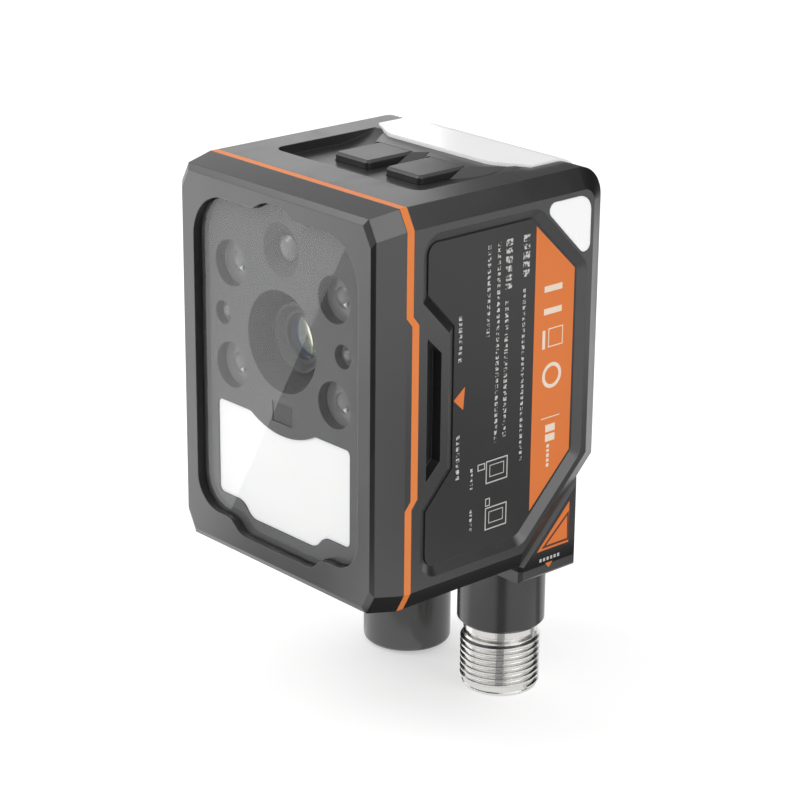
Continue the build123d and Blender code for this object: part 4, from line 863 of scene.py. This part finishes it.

# %% [markdown]
# ## Painted glints on the lamp lenses
# Each lamp lens shows its chip as one small bright glint. A white triangle on the crown of
# the lens, a little below its middle, is a painted highlight that stands for it.

# %% Painted glints
GLINT_R = 0.5 * MM
GLINT_DEPTH = 0.2 * MM
GLINT_OFFSET = Vector((0.95, -0.02, -0.75)) * MM
QUARTER = math.radians(90)
glint_white = opaque_finish("glint_white", (0.88, 0.88, 0.86), 0.3, edge_radius=0.02, edge_light=0.0)
glint_mesh = bmesh.new()
for name in small_lenses:
    if name.startswith("led_lens"):
        low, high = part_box(name)
        centre = (low + high) / 2
        spot = Vector((centre.x, low.y, centre.z)) + GLINT_OFFSET
        made = bmesh.ops.create_cone(glint_mesh, cap_ends=True, segments=3, radius1=GLINT_R,
                                     radius2=GLINT_R * 0.5, depth=GLINT_DEPTH)
        lean = Matrix.Rotation(QUARTER, 4, "X") @ Matrix.Rotation(QUARTER, 4, "Z")
        bmesh.ops.transform(glint_mesh, matrix=Matrix.Translation(spot) @ lean, verts=made["verts"])
keep_piece(glint_mesh, "lens_glints", glint_white, "camera")

# %% [markdown]
# ## Print on the side
# What matters in print at this size is its rhythm, so it is made of plain dashes, bars,
# frames and fields. Each is a very thin plate of ink that lies on the film. A plate
# starts as one flat face and is extruded, a frame is the same face inset first, with its
# middle taken away. Places are pairs of depth and height in millimetres.

# %% Helpers for plates of ink
INK = 0.03 * MM
label_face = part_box("side_label")[1].x
block_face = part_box("connector_block")[1].x
cream_face = label_face + INK


def side_point(x, place):
    return Vector((x, place[0] * MM, place[1] * MM))


def ink_face(bm, x, corners):
    return bm.faces.new([bm.verts.new(side_point(x, corner)) for corner in corners])


def box_corners(y_low, z_low, y_high, z_high):
    return [(y_low, z_low), (y_high, z_low), (y_high, z_high), (y_low, z_high)]


def add_frame(bm, x, corners, line):
    face = ink_face(bm, x, corners)
    face.normal_update()
    bmesh.ops.inset_region(bm, faces=[face], thickness=line * MM, use_even_offset=True, use_boundary=True)
    bmesh.ops.delete(bm, geom=[face], context="FACES")


def add_dashes(bm, x, y, z_top, z_low, width, dash, gap, lengths=(1.0, 0.8, 1.1, 0.9)):
    """A column of short bars; their lengths repeat in a fixed rhythm."""
    z, index = z_top, 0
    while z > z_low:
        long = dash * lengths[index % len(lengths)]
        end = max(z - long, z_low)
        ink_face(bm, x, box_corners(y - width / 2, end, y + width / 2, z))
        z, index = end - gap, index + 1
    return index


def keep_print(bm, name, ink, rides):
    """Gives every flat face in the mesh the thickness of ink, outwards, and keeps it."""
    raised = bmesh.ops.extrude_face_region(bm, geom=bm.faces[:], use_keep_orig=True)
    moved = [item for item in raised["geom"] if isinstance(item, bmesh.types.BMVert)]
    bmesh.ops.translate(bm, verts=moved, vec=(INK, 0, 0))
    keep_piece(bm, name, ink, rides)


print("label face at", round(label_face / MM, 2), "mm")

# %% Orange fields on the label
orange = bmesh.new()
ink_face(orange, label_face, [(-13.46, 15.95), (-13.40, -26.15), (-5.70, -18.60), (-5.70, 8.55)])
ink_face(orange, label_face, [(-28.55, -5.95), (-26.45, -4.35), (-26.75, -7.65)])
keep_print(orange, "label_orange", ink_orange, "camera")

# %% Columns of pale dashes
# Each row holds the middle, top, bottom, width, dash and gap of one column.
DASH_COLUMNS = [
    (-15.25, 15.1, 8.9, 1.25, 0.95, 0.35),
    (-15.50, 7.4, -18.1, 0.50, 0.55, 0.30),
    (-18.55, 15.1, 7.7, 1.25, 0.95, 0.35),
    (-18.80, 6.3, -13.5, 0.62, 0.60, 0.30),
    (-20.45, 15.0, -13.9, 0.55, 0.58, 0.30),
    (-22.30, 14.9, 1.9, 0.55, 0.58, 0.30),
    (-27.48, 5.9, -0.8, 0.62, 0.60, 0.28),
    (-27.62, -11.2, -17.9, 0.62, 0.60, 0.28),
    (-24.93, -16.8, -19.9, 0.45, 0.50, 0.22),
    (-24.93, -22.9, -26.2, 0.45, 0.50, 0.22),
]
pale = bmesh.new()
dash_count = sum(add_dashes(pale, label_face, *column) for column in DASH_COLUMNS)
keep_print(pale, "label_dashes", ink_print, "camera")
print(dash_count, "dashes")

# %% Small outline figures
figures = bmesh.new()
for z_top in (-16.4, -23.4):
    add_frame(figures, label_face, box_corners(-22.15, z_top - 3.4, -17.95, z_top), 0.18)
    add_frame(figures, label_face, box_corners(-21.45, z_top - 2.5, -18.65, z_top - 0.7), 0.12)
add_frame(figures, label_face, box_corners(-23.75, -17.5, -22.35, -16.5), 0.15)
add_frame(figures, label_face, box_corners(-22.15, -23.2, -21.25, -22.0), 0.15)
keep_print(figures, "label_figures", ink_pale, "camera")

# %% Bars, a frame and dashes on the orange field
CREAM_BARS = [
    (-11.6, 6.0, -8.1, 6.9),
    (-11.6, 2.7, -8.1, 3.6),
    (-11.75, -2.3, -11.2, 0.45),
    (-11.55, -12.8, -7.9, -12.66),
]
cream = bmesh.new()
for bar in CREAM_BARS:
    ink_face(cream, cream_face, box_corners(*bar))
add_frame(cream, cream_face, box_corners(-10.6, -2.2, -7.7, 0.6), 0.16)
add_dashes(cream, cream_face, -9.7, -13.8, -16.4, 1.9, 1.1, 0.35, (1.0,))
add_dashes(cream, cream_face, -10.05, -16.8, -20.2, 0.5, 0.5, 0.25)
keep_print(cream, "label_marks", ink_cream, "camera")

# %% A ring on the orange field
RING_R = 1.9 * MM
RING_LINE = 0.55 * MM
ring = bmesh.new()
bmesh.ops.create_circle(ring, cap_ends=True, segments=40, radius=RING_R)
bmesh.ops.inset_region(ring, faces=ring.faces[:], thickness=RING_LINE, use_even_offset=True,
                       use_boundary=True)
middle = max(ring.faces, key=lambda face: len(face.verts))
bmesh.ops.delete(ring, geom=[middle], context="FACES")
ring_place = Matrix.Translation(side_point(cream_face, (-9.7, -6.45))) @ Matrix.Rotation(QUARTER, 4, "Y")
bmesh.ops.transform(ring, matrix=ring_place, verts=ring.verts)
keep_print(ring, "label_ring", ink_cream, "camera")

# %% [markdown]
# ## Print on the connector block
# The block has an orange triangle with a thin dark line inside its border, and below it
# a short pale row over a small orange pointer.

# %% Block print
ROW_STEP = 0.72
ROW_DASH = 0.42
line = bmesh.new()
add_frame(line, block_face, [(-4.35, -28.8), (-9.75, -33.35), (-4.2, -33.35)], 0.3)
keep_print(line, "block_line", ink_dark, "connector")
row = bmesh.new()
for step in range(6):
    start = -10.1 + ROW_STEP * step
    ink_face(row, block_face, box_corners(start, -35.4, start + ROW_DASH, -34.9))
keep_print(row, "block_dashes", ink_pale, "connector")
pointer = bmesh.new()
ink_face(pointer, block_face, [(-8.95, -35.8), (-8.2, -36.6), (-7.45, -35.8)])
keep_print(pointer, "block_pointer", ink_orange, "connector")

# %% [markdown]
# The dressed object must fill the same box as the plain solids. Its size is printed here,
# and the size of the plain solids was printed at the start.

# %% Print the dressed size
low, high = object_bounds()
print("dressed size", [round((b - a) / MM, 2) for a, b in zip(low, high)], "mm")
